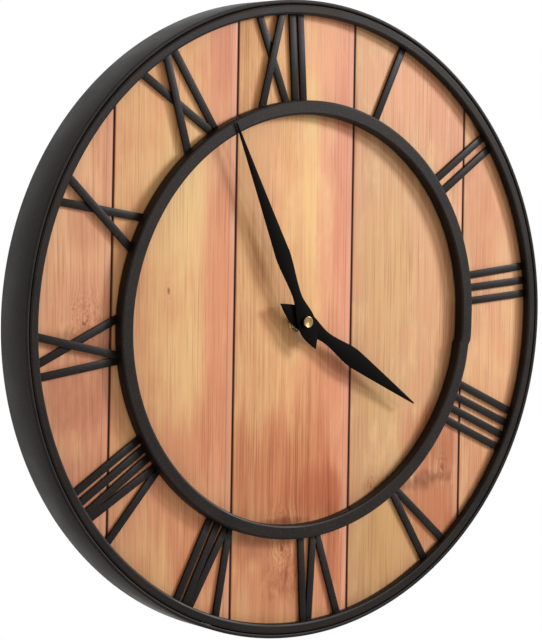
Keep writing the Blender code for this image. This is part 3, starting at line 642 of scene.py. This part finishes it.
bushing_front = -bushing_low.y
bushing_profile = [
    (bushing_bore, -bushing_high.y), (bushing_radius, -bushing_high.y),
    (bushing_radius, -flange_high.y), (flange_radius, -flange_high.y),
    (flange_radius, -flange_low.y), (bushing_radius - thread_depth, -flange_low.y),
]
turn_height = -flange_low.y + chamfer
while turn_height < bushing_front - thread_pitch:
    bushing_profile.append((bushing_radius - thread_depth, turn_height))
    bushing_profile.append((bushing_radius, turn_height + 0.4 * thread_pitch))
    bushing_profile.append((bushing_radius, turn_height + 0.55 * thread_pitch))
    turn_height += thread_pitch
bushing_profile += [
    (bushing_radius - thread_depth, bushing_front),
    (bushing_bore + chamfer, bushing_front),
    (bushing_bore, bushing_front - chamfer),
]
bushing = lathe(bushing_profile, closed=True)
finish_piece(bushing, "brass_bushing", brass, "frame", "threaded_bushing")

# Hanger plate
# A keyhole plate of zinc-plated steel, 1.5 mm thick, cut to the hoop's curve at its top and tacked
# to it with two beads of weld. The clock hangs by it from a nail or a screw in the wall.
plate_low, plate_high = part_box("hanger_plate")
plate_radius = plate_high.z - dial_centre.z
keyhole_slot_radius = 0.00225
keyhole_head_radius = 0.0045
keyhole_drop = 0.0085
plate_corner = 0.005
plate_edge = 0.0002
plate_tack = 0.0018
plate_tack_bite = 0.0002
tack_inset = 0.0006
tack_length = 1.9
tack_width = 0.6


# Zinc-plated steel: bluish grey metal with a soft cloudy bloom, about 8 mm across, and fine
# scratches from handling. The scratches are drawn 0.4 mm wide so that they show.
def bright_metal(name, dull, bright, roughness, cloud=8):
    made, shader, add, place = new_material(name, Roughness=roughness, Metallic=1)
    bloom = add("TexNoise", place, 1 / (cloud * millimetre), 5)
    scratch_sizes = [1 / (size * millimetre) for size in (0.4, 4, 20)]
    scratch = add("TexNoise", add("Mapping", place, Rotation=(0, 0.5, 0), Scale=scratch_sizes), 1, 2)
    tone = add("ValToRGB", bloom, stops=[(0.34, dull), (0.66, bright)])
    tone = paint(add, tone, (add("MapRange", scratch, 0.60, 0.72, 0, 0.35), "#6f7275"))
    gloss = add("MapRange", bloom, 0.3, 0.7, roughness + 0.10, roughness - 0.05)
    finish_looks(shader, add, tone, gloss, scratch, 0.2, 0.05)
    return made


zinc = bright_metal("zinc_plated_steel", "#a3a7ab", "#c9cbcc", 0.34)


def add_block(low, high):
    """A block between two corners."""
    bpy.ops.mesh.primitive_cube_add(size=1, location=[(a + b) / 2 for a, b in zip(low, high)])
    block = bpy.context.object
    block.scale = [b - a for a, b in zip(low, high)]
    settle(block)
    return block


def add_tacks(piece, angles, radius, depth, size):
    """Lumpy tacks of weld about the dial's axis, drawn out along the hoop and joined to a piece."""
    for angle in angles:
        turn = math.radians(angle)
        place = dial_centre + radius * Vector((math.sin(turn), 0, math.cos(turn)))
        lump = (tack_length, tack_width, beads.uniform(0.6, 0.9))
        join(piece, add_blob((place.x, depth, place.z), size, lump, turn, 14, 8))


plate = add_disc(plate_radius, plate_low.y, plate_high.y, sides=288)
for side, rise, direction in (
    (plate_high.x, 0, (1, 0, 0)),
    (plate_low.x, 0, (-1, 0, 0)),
    (0, plate_low.z, (0, 0, -1)),
    (plate_low.x + plate_corner, plate_low.z, (-1, 0, -1)),
    (plate_high.x - plate_corner, plate_low.z, (1, 0, -1)),
):
    split_by(plate, Vector((side, 0, rise)), Vector(direction).normalized())
plate_front = plate_low.y - overshoot
plate_back = plate_high.y + overshoot
cut(
    plate,
    add_block((-keyhole_slot_radius, plate_front, -keyhole_drop), (keyhole_slot_radius, plate_back, 0)),
    add_disc(keyhole_slot_radius, plate_front, plate_back, centre=Vector()),
    add_disc(keyhole_head_radius, plate_front, plate_back, centre=Vector((0, 0, -keyhole_drop))),
)
round_edges(plate, plate_edge)
settle(plate)
add_tacks(plate, (-6, 6), plate_radius - tack_inset, plate_high.y - plate_tack_bite, plate_tack)
finish_piece(plate, "keyhole_hanger", zinc, "frame", "hanger_plate")

# Retaining ring
# A ring of flat steel bar, 6 x 2 mm, that was sprung into the hoop behind the face and tacked in
# four places. Its butt joint is open at the bottom. The face can't fall out of the back.
retainer_low, retainer_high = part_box("retaining_ring")
retainer_width = 0.0060
retainer_edge = 0.0003
retainer_tack = 0.0021
butt_gap = 0.0016
retainer_radius = (retainer_high.x - retainer_low.x) / 2
retainer = ring_of_bar(retainer_radius, retainer_width, retainer_low.y, retainer_high.y, retainer_edge)
bottom = dial_centre.z - retainer_radius
gap_low = (-butt_gap / 2, retainer_low.y - overshoot, bottom - overshoot)
gap_high = (butt_gap / 2, retainer_high.y + overshoot, bottom + retainer_width + overshoot)
cut(retainer, add_block(gap_low, gap_high))
add_tacks(retainer, (-140, -50, 40, 130), retainer_radius - tack_inset, retainer_high.y, retainer_tack)
finish_piece(retainer, "retaining_ring_bar", zinc, "frame", "retaining_ring")

# Backing board
# Hardboard, 2.5 mm thick, that the planks are glued to, with a square window for the movement.
# Its rough side faces the wall and keeps the print of the wire mesh that it was pressed on.
mesh_wire_gap = 1.6 * millimetre

# Hardboard: dark brown pressed fibre, matt, with pale and dark flecks 1 to 3 mm long, and a fine
# square mesh print. The print's wires are 1.6 mm apart.
hardboard, shader, add, place = new_material("pressed_hardboard", Specular_IOR_Level=0.2)
fleck = add("TexNoise", place, 1 / (1.6 * millimetre), 5, 0.7)
cloud = add("TexNoise", place, 1 / (35 * millimetre), 3)
base = add("ValToRGB", fleck, stops=[(0.30, "#4c3320"), (0.50, "#6f4d31"), (0.72, "#9a7350")])
shade = add("ValToRGB", cloud, stops=[(0.35, "#eee7de"), (0.65, "#ffffff")])
parts = add("SeparateXYZ", place).outputs
wires = [ripple(add, parts[axis], mesh_wire_gap) for axis in ("X", "Z")]
relief = add("Math", add("Math", *wires, operation="MAXIMUM"), fleck, operation="ADD")
finish_looks(shader, add, paint(add, base, (1, shade), blend="MULTIPLY"), 0.85, relief, 0.8, 0.4)


def dress(name, material):
    """Give a carried-over solid its material."""
    solid = bpy.data.objects[name]
    solid.data.materials.clear()
    solid.data.materials.append(material)


dress("backing_board", hardboard)

# Movement case and cover
# The case is a square tray moulded in black ABS, with its open side to the wall: a gear room above
# a bay for the cell. The cover snaps on the gear room with four hooks. Its back has a sunk panel,
# and two of its pins are staked over with heat.
case_low, case_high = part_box("movement_case")
cover_low, cover_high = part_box("movement_cover")
knob_low, knob_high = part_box("setting_knob")
cell_low, cell_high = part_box("battery_cell")
cell_radius = (cell_high.z - cell_low.z) / 2
cell_centre = (cell_low + cell_high) / 2
knob_centre = Vector(((knob_low.x + knob_high.x) / 2, 0, (knob_low.z + knob_high.z) / 2))
case_wall = 0.0012
case_front_wall = 0.0009
case_corner = 0.0030
case_edge = 0.00025
cover_edge = 0.00012
snug = 0.0003
bay_high = cover_low.z - snug
bay_low = case_low.z + case_wall
room_low = bay_high + case_wall
finger_radius = 0.0085
finger_depth = 0.0072
rib_places = (-0.0165, -0.0055, 0.0055, 0.0165)
rib_cutter_length = 0.004
rib_half = 0.0006
rib_bite = 0.0002


# Moulded ABS: black plastic with a fine spark-eroded texture, about 0.5 mm across, which spreads
# each highlight into a soft grey sheen. Flow lines make it a little uneven.
def moulded_plastic(name, dark, light, roughness, grain=0.5):
    made, shader, add, place = new_material(name, Roughness=roughness, IOR=1.53)
    texture = add("TexVoronoi", place, 1 / (grain * millimetre))
    flow = add("TexNoise", place, 1 / (12 * millimetre), 3, Distortion=1.2)
    tone = add("ValToRGB", flow, stops=[(0.35, dark), (0.65, light)])
    gloss = add("MapRange", flow, 0.3, 0.7, roughness - 0.05, roughness + 0.07)
    finish_looks(shader, add, tone, gloss, texture, 0.3, 0.06)
    return made


black_abs = moulded_plastic("moulded_black_abs", "#17181a", "#202123", 0.48)


def moulded_block(low, high):
    """A block whose four corners that run out of the wall are round."""
    block = add_block(low, high)
    bpy.ops.object.mode_set(mode="EDIT")
    bpy.ops.mesh.select_mode(type="EDGE")
    bpy.ops.mesh.select_all(action="DESELECT")
    bpy.ops.object.mode_set(mode="OBJECT")
    points = block.data.vertices
    for edge in block.data.edges:
        run = points[edge.vertices[0]].co - points[edge.vertices[1]].co
        edge.select = abs(run.y) > 0.9 * run.length
    bpy.ops.object.mode_set(mode="EDIT")
    bpy.ops.mesh.bevel(offset=case_corner, segments=4, affect="EDGES")
    bpy.ops.mesh.select_mode(type="FACE")
    bpy.ops.object.mode_set(mode="OBJECT")
    return block


case = moulded_block(case_low, case_high)
inner_low_x = case_low.x + case_wall
inner_high_x = case_high.x - case_wall
inner_front = case_low.y + case_front_wall
beyond = case_high.y + overshoot
ledge_low = (case_low.x - overshoot, cover_low.y - snug, bay_high)
ledge_high = (case_high.x + overshoot, beyond, case_high.z + overshoot)
cut(
    case,
    add_block((inner_low_x, inner_front, room_low), (inner_high_x, beyond, case_high.z - case_wall)),
    add_block((inner_low_x, inner_front, bay_low), (inner_high_x, beyond, bay_high)),
    add_block(ledge_low, ledge_high),
    add_disc(finger_radius, case_high.y - finger_depth, beyond, centre=Vector((0, 0, case_low.z))),
    add_disc(bushing_radius, case_low.y - overshoot, inner_front + overshoot),
)
round_edges(case, case_edge)
settle(case)
for rib_x in rib_places:
    rib_low = (rib_x - rib_half, inner_front - rib_bite, bay_low - rib_bite)
    rib = add_block(rib_low, (rib_x + rib_half, cell_centre.y, bay_high + rib_bite))
    bpy.ops.mesh.primitive_cylinder_add(
        vertices=48,
        radius=cell_radius + snug / 2,
        depth=rib_cutter_length,
        location=(rib_x, cell_centre.y, cell_centre.z),
        rotation=(0, math.radians(90), 0),
    )
    cut(rib, bpy.context.object)
    join(case, rib)
finish_piece(case, "moulded_case", black_abs, "frame", "movement_case")

panel_margin = 0.0028
panel_depth = 0.00025
panel_y = cover_high.y - panel_depth
knob_arbor_radius = 0.0020
knob_arbor_gap = 0.00015
window_x = 0.016
window_size = Vector((0.0024, 0.0006, 0.0011))
groove_count = 5
groove_left = -0.0205
groove_right = -0.0085
groove_depth = 0.0005
groove_height = 0.0009
groove_pitch = 0.0022
groove_rise = 0.0085
stake_x = 0.0215
stake_inset = 0.0065
stake_radius = 0.0017
stake_flatness = 0.30
hook_size = Vector((0.0018, 0.0007, 0.0003))
hook_inset = 0.0006
hook_rise = 0.0004
cover = moulded_block(cover_low, cover_high)
panel_low = (cover_low.x + panel_margin, panel_y, cover_low.z + panel_margin)
panel_high = (cover_high.x - panel_margin, beyond, cover_high.z - panel_margin)
cutters = [
    add_block(panel_low, panel_high),
    add_disc(knob_arbor_radius + knob_arbor_gap, cover_low.y - overshoot, beyond, centre=knob_centre),
]
for side in (-window_x, window_x):
    for rise in (cover_high.z, cover_low.z):
        window_low = Vector((side, cover_high.y, rise)) - window_size
        cutters.append(add_block(window_low, (side + window_size.x, beyond, rise + window_size.z)))
for number in range(groove_count):
    groove_z = cover_low.z + groove_rise + number * groove_pitch
    groove_low = (groove_left, cover_high.y - groove_depth, groove_z)
    cutters.append(add_block(groove_low, (groove_right, beyond, groove_z + groove_height)))
cut(cover, *cutters)
round_edges(cover, cover_edge)
settle(cover)
for place_x, place_z in ((-stake_x, cover_high.z - stake_inset), (stake_x, cover_low.z + stake_inset)):
    join(cover, add_blob((place_x, panel_y, place_z), stake_radius, (1, stake_flatness, 1)))
hook_z = cover_high.z - hook_inset
for side in (-window_x, window_x):
    hook_low = Vector((side, cover_high.y, hook_z)) - hook_size
    join(cover, add_block(hook_low, (side + hook_size.x, cover_high.y, hook_z + hook_rise)))
finish_piece(cover, "snap_cover", black_abs, "frame", "movement_cover")

# Setting knob
# A knurled wheel moulded in black ABS with its arbor and pinion. It sets the hands from behind the
# clock: turned by a finger, it drives the minute wheel.
knob_ridges = 24
knob_ridge_depth = 0.0005
knob_ridge_reach = 0.0006
knob_radius = (knob_high.x - knob_low.x) / 2
knob_back = -knob_high.y
knob_front = -(cover_high.y + snug)
pinion_teeth = 12
pinion_radius = 0.00285
pinion_valley_share = 0.82
pinion_inset = 0.0012
pinion_thickness = 0.0009
pinion_front = -knob_low.y - pinion_inset
pinion_back = pinion_front - pinion_thickness
knob_profile = [
    (0.0024, knob_back + 0.0004), (0.0029, knob_back),
    (knob_radius - 0.0003, knob_back), (knob_radius, knob_back + 0.00025),
    (knob_radius, knob_front - 0.00015), (knob_radius - 0.0002, knob_front),
    (knob_arbor_radius, knob_front), (knob_arbor_radius, pinion_back),
    (0.0004, pinion_back), (0.0004, -knob_low.y),
]
knob = lathe(knob_profile, steps=192, centre=knob_centre)
for point in knob.data.vertices:
    arm = point.co - knob_centre
    reach = math.hypot(arm.x, arm.z)
    if reach > knob_radius - knob_ridge_reach:
        wave = 0.5 + 0.5 * math.cos(knob_ridges * math.atan2(arm.z, arm.x))
        stretch_point(point, knob_centre, (reach - knob_ridge_depth * wave**2) / reach)
pinion = add_disc(pinion_radius, -pinion_front, -pinion_back, 2 * pinion_teeth, knob_centre)
settle(pinion)
for point in pinion.data.vertices:
    arm = point.co - knob_centre
    if round(math.atan2(arm.z, arm.x) / math.tau * 2 * pinion_teeth) % 2:
        stretch_point(point, knob_centre, pinion_valley_share)
join(knob, pinion)
finish_piece(knob, "knurled_knob", black_abs, "setting_knob_arbor", "setting_knob")

# Cell and contacts
# A plain AA cell in a shrunk sleeve, with bare nickel ends. A strip with a pressed dimple meets its
# button, and a folded leaf spring presses on its flat end.
cell_half = (cell_high.x - cell_low.x) / 2
button_radius = 0.0027
button_length = 0.0011
line_inset = 0.0060
can_end = cell_half - button_length
cell_profile = [
    (0.0045, -cell_half + 0.0001), (0.0048, -cell_half),
    (0.0056, -cell_half), (0.0058, -cell_half + 0.0003),
    (cell_radius - 0.0005, -cell_half + 0.0003), (cell_radius - 0.0001, -cell_half + 0.0007),
    (cell_radius, -cell_half + 0.0012), (cell_radius, can_end - 0.0010),
    (cell_radius - 0.0002, can_end - 0.0004), (cell_radius - 0.0007, can_end),
    (cell_radius - 0.0014, can_end - 0.0001), (cell_radius - 0.0016, can_end - 0.0006),
    (button_radius + 0.0006, can_end - 0.0006), (button_radius, can_end - 0.0003),
    (button_radius, cell_half - 0.0003), (button_radius - 0.0003, cell_half), (0.0009, cell_half),
]

# Shrink sleeve on a steel can: a thin satin plastic skin, plain slate blue, with one pale printed
# line round the plus end. The ends show bright nickel. The place along the cell picks between them.
sleeved_can, shader, add, place = new_material("sleeved_steel_can", Roughness=0.32)
along = add("SeparateXYZ", add("Mapping", place, cell_centre, vector_type="TEXTURE")).outputs["X"]
grime = add("TexNoise", place, 1 / (5 * millimetre), 4)
jacket = add("ValToRGB", grime, stops=[(0.3, "#3a4a5c"), (0.7, "#46586c")])
line = add("Math", along, cell_half - line_inset, 0.6 * millimetre, operation="COMPARE")
plus_end = add("MapRange", along, can_end - 0.0004, can_end - 0.0002)
minus_end = add("MapRange", along, -cell_half + 0.0007, -cell_half + 0.0005)
middle = distance_to(add, place, cell_centre, axes=(0, 1, 1))
inside = add("MapRange", middle, cell_radius - 0.0006, cell_radius - 0.0008)
metal = add("Math", add("Math", plus_end, minus_end, operation="MAXIMUM"), inside, operation="MAXIMUM")
tone = paint(add, jacket, (line, "#d9d4c8"), (metal, "#c9c5bb"))
finish_looks(shader, add, tone, add("MapRange", grime, 0.3, 0.7, 0.28, 0.38), grime, 0.12, 0.2)
set_node(shader, Metallic=metal)

cell = lathe(cell_profile, steps=72, centre=cell_centre, axis=Vector((1, 0, 0)))
finish_piece(cell, "sleeved_cell", sleeved_can, "cell", "battery_cell")

nickel = bright_metal("nickel_plated_spring", "#b9b4a8", "#d8d4c9", 0.26, cloud=4)
plus_low, plus_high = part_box("contact_plus")
strip_edge = 0.0001
dimple_radius = 0.0019
dimple_flatness = 0.12
plus_strip = add_block(plus_low, plus_high)
round_edges(plus_strip, strip_edge)
settle(plus_strip)
join(plus_strip, add_blob((plus_low.x, cell_centre.y, cell_centre.z), dimple_radius, (dimple_flatness, 1, 1)))
finish_piece(plus_strip, "dimpled_strip", nickel, "frame", "contact_plus")
dress("contact_minus", nickel)

# Movement inside the case
# The gears and the bobbin are moulded in natural acetal. The rotor is a sintered magnet, the stator
# is punched from soft steel, and the coil is wound from lacquered copper. A small board with a
# black drop over its chip drives the coil.
acetal = moulded_plastic("moulded_acetal", "#ded9ca", "#e9e5d8", 0.36, grain=0.8)
for wheel in ("minute", "hour", "centre", "third", "seconds", "intermediate"):
    dress(wheel + "_wheel", acetal)
dress("coil_bobbin", acetal)
dress("stator", bright_metal("soft_magnetic_steel", "#8d9093", "#a7a9aa", 0.42))
dress("rotor", bright_metal("sintered_magnet", "#56585b", "#77797b", 0.5, cloud=2))

# Lacquered copper wire: glossy orange-brown turns side by side across the coil. Real turns are
# 0.06 mm apart and are drawn 0.25 mm apart so that they show.
copper_wire, shader, add, place = new_material("lacquered_copper_wire", Metallic=1)
turns = ripple(add, add("SeparateXYZ", place).outputs["X"], 0.25 * millimetre)
# Each turn is painted lighter on its crown and darker where it meets the next: painted highlight and painted
# shade.
tone = add("ValToRGB", add("MapRange", turns, -1, 1), stops=[(0.1, "#6d3416"), (0.7, "#c2743c")])
finish_looks(shader, add, tone, 0.3, turns, 0.5, 0.06)
dress("coil_winding", copper_wire)

# Solder mask on a small glass-epoxy board: green lacquer over copper tracks 0.5 mm wide, with a
# black drop of epoxy over the chip, which stands out of the board's front.
board_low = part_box("circuit_board")[0]
track_pitch = 4 * millimetre
glass_epoxy, shader, add, place = new_material("lacquered_glass_epoxy", Roughness=0.35)
parts = add("SeparateXYZ", add("Mapping", place, board_low, vector_type="TEXTURE")).outputs
flat = add("CombineXYZ", parts["X"], parts["Z"])
tracks = add("TexBrick", flat, "#12502c", "#175c33", "#3f8a4a", Scale=1 / track_pitch, Mortar_Size=0.03)
chip = add("MapRange", parts["Y"], 1.02 * millimetre, 0.95 * millimetre)
gloss = add("MapRange", chip, 0, 1, 0.30, 0.55)
set_node(shader, Base_Color=paint(add, tracks, (chip, "#141415")), Roughness=gloss)
dress("circuit_board", glass_epoxy)

# Collet, minute shaft and rubber washer
# The hour hand's brass collet is pressed on the hour tube, and the minute shaft is brass too. A
# rubber washer round the bushing's flange seals the case to the face.
collet_low, collet_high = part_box("hour_collet")
collet_radius = (collet_high.x - collet_low.x) / 2
collet_neck_radius = 0.0033
collet_seat = -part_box("hour_hand")[1].y - seat_gap
collet_profile = [
    (bushing_bore, -collet_high.y), (collet_radius - chamfer, -collet_high.y),
    (collet_radius, -collet_high.y + chamfer), (collet_radius, collet_seat),
    (collet_neck_radius, collet_seat), (collet_neck_radius, -collet_low.y - chamfer / 2),
    (collet_neck_radius - chamfer / 2, -collet_low.y), (bushing_bore, -collet_low.y),
]
collet = lathe(collet_profile, closed=True)
finish_piece(collet, "brass_collet", brass, "hour_arbor", "hour_collet")
dress("minute_shaft", brass)

# Nitrile rubber: matt near-black with a bloom of dust and a fine moulded skin.
rubber, shader, add, place = new_material("nitrile_rubber")
bloom = add("TexNoise", place, 1 / (3 * millimetre), 6)
tone = add("ValToRGB", bloom, stops=[(0.35, "#1c1c1c"), (0.75, "#2e2d2b")])
finish_looks(shader, add, tone, 0.88, bloom, 0.2, 0.1)
dress("rubber_washer", rubber)

# Hands
# Two leaf-shaped hands, stamped from thin aluminium and sprayed flat black. The hour hand is
# pressed on the hour tube, and the minute hand is clamped in front of it by a round brass nut.
hand_hub = 0.0136 / 2
hand_tip = 0.0008 / 2
hand_edge = 0.00012
hand_rows = 110
belly_distance = 0.0465
tail_roundness = 0.85
hand_least = 0.00002
hand_angles = {"hour": -127.4, "minute": 18.5}
hand_holes = {"hour": 0.0036, "minute": 0.0017}
# The neck and the blade are given by half of their width.
hand_sizes = {
    "hour": dict(length=0.1056, tail=0.0224, neck=0.0036, neck_distance=0.0205, blade=0.0062, taper=1.08),
    "minute": dict(length=0.1346, tail=0.0190, neck=0.0032, neck_distance=0.0180, blade=0.00555, taper=0.93),
}

# Flat black paint on aluminium: matt, so the hands read as silhouettes, with a faint sheen where
# the light grazes them.
hand_paint = powder_coat("flat_black_paint", "#060504", "#0a0706", 0.6, 0.03, 0)


def ease(first, last, share):
    """A width between two widths, which starts and ends gently."""
    return first + (last - first) * share * share * (3 - 2 * share)


def half_width(along, tail, length, neck, neck_distance, blade, taper):
    """Half of the hand's width at a distance along it, from the tail to the tip."""
    if along < 0:
        return hand_hub * math.sin(min(1, (along + tail) / tail / tail_roundness) * math.pi / 2)
    if along < neck_distance:
        return ease(hand_hub, neck, along / neck_distance)
    if along < belly_distance:
        return ease(neck, blade, (along - neck_distance) / (belly_distance - neck_distance))
    share = (along - belly_distance) / (length - belly_distance)
    return hand_tip + (blade - hand_tip) * (1 - share**taper)


for name, sizes in hand_sizes.items():
    low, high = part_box(name + "_hand")
    bpy.ops.mesh.primitive_grid_add(x_subdivisions=2, y_subdivisions=hand_rows, size=1)
    hand = bpy.context.object
    for point in hand.data.vertices:
        along = -sizes["tail"] + (point.co.y + 0.5) * (sizes["length"] + sizes["tail"])
        half = max(half_width(along, **sizes), hand_least)
        point.co = Vector((2 * point.co.x * half, along, 0))
    hand.rotation_euler = (math.radians(90), -math.radians(hand_angles[name]), 0)
    hand.location = dial_centre + Vector((0, high.y, 0))
    wall = hand.modifiers.new("wall", "SOLIDIFY")
    wall.thickness = high.y - low.y
    wall.offset = 1
    settle(hand)
    cut(hand, add_disc(hand_holes[name], low.y - overshoot, high.y + overshoot))
    round_edges(hand, hand_edge)
    finish_piece(hand, f"leaf_{name}_hand", hand_paint, name + "_arbor", name + "_hand")

# Round brass nut
# A turned brass nut with a raised rim and a shallow dish, screwed on the minute shaft's thread.
# Its brass is painted darker than the brass behind it, as a painted dark reflection of the room around it.
cap_low, cap_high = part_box("minute_nut")
cap_radius = 0.0070 / 2
cap_front_inset = 0.0006
cap_rim = 0.0007
cap_slope = 0.0004
cap_dish = 0.0005
cap_edge = 0.0003
front_facing = -0.9
cap = add_disc(cap_radius, cap_low.y + cap_front_inset, cap_high.y, sides=64)
settle(cap)
bpy.ops.object.mode_set(mode="EDIT")
bpy.ops.mesh.select_mode(type="FACE")
bpy.ops.mesh.select_all(action="DESELECT")
bpy.ops.object.mode_set(mode="OBJECT")
for face in cap.data.polygons:
    face.select = face.normal.y < front_facing
bpy.ops.object.mode_set(mode="EDIT")
bpy.ops.mesh.inset(thickness=cap_rim, depth=0)
bpy.ops.mesh.inset(thickness=cap_slope, depth=-cap_dish)
bpy.ops.object.mode_set(mode="OBJECT")
round_edges(cap, cap_edge, segments=3, angle=30)
# Darker brass tones for the nut: a painted dark reflection.
cap_brass = turned_brass("brass_painted_dark_reflection", "#a48a61", "#75593b")
finish_piece(cap, "brass_cap_nut", cap_brass, "minute_arbor", "minute_nut")

# Floor and light
# A white studio: a pale floor well below the clock and white space behind it. A large soft lamp from
# the right and above casts the hands' shadow to the left, a small weak one gives the black iron its
# sheen, and even light comes from all around.
floor_drop = 0.62
floor_size = 2.2
bpy.ops.mesh.primitive_plane_add(size=floor_size, location=(0, 0, hoop_low.z - floor_drop))
floor = bpy.context.object
floor.name = "studio_floor"
floor.data.materials.append(new_material("studio_floor_paint", Roughness=0.9, Base_Color="#e3ecf8")[0])

world = bpy.data.worlds.new("white_studio")
bpy.context.scene.world = world
world.use_nodes = True
world.node_tree.nodes.clear()
add = functools.partial(add_node, world.node_tree)
rays = add("LightPath").outputs
seen = add("Math", rays["Is Camera Ray"], rays["Is Transmission Ray"], operation="MAXIMUM")
seen = add("Math", seen, rays["Is Glossy Ray"], operation="MAXIMUM")
level = add("MapRange", seen, 0, 1, 0.50, 1.0)
tone = add("Mix", seen, "#ffe6cc", "#ffffff", data_type="RGBA")
add("OutputWorld", add("Background", tone, level))


def add_lamp(name, direction, distance, size, power):
    """A square soft lamp that looks at the dial's centre from a direction."""
    place = dial_centre + Vector(direction).normalized() * distance
    bpy.ops.object.light_add(type="AREA", location=place)
    lamp = bpy.context.object
    lamp.name = name
    lamp.data.size = size
    lamp.data.energy = power
    lamp.rotation_euler = (dial_centre - place).to_track_quat("-Z", "Y").to_euler()


add_lamp("key_lamp", (1.42, -1.0, 0.50), distance=3.2, size=0.62, power=80)
add_lamp("sheen_lamp", (0.80, -1.05, 0.27), distance=1.7, size=0.30, power=5.5)

bpy.context.scene.view_settings.view_transform = "Standard"
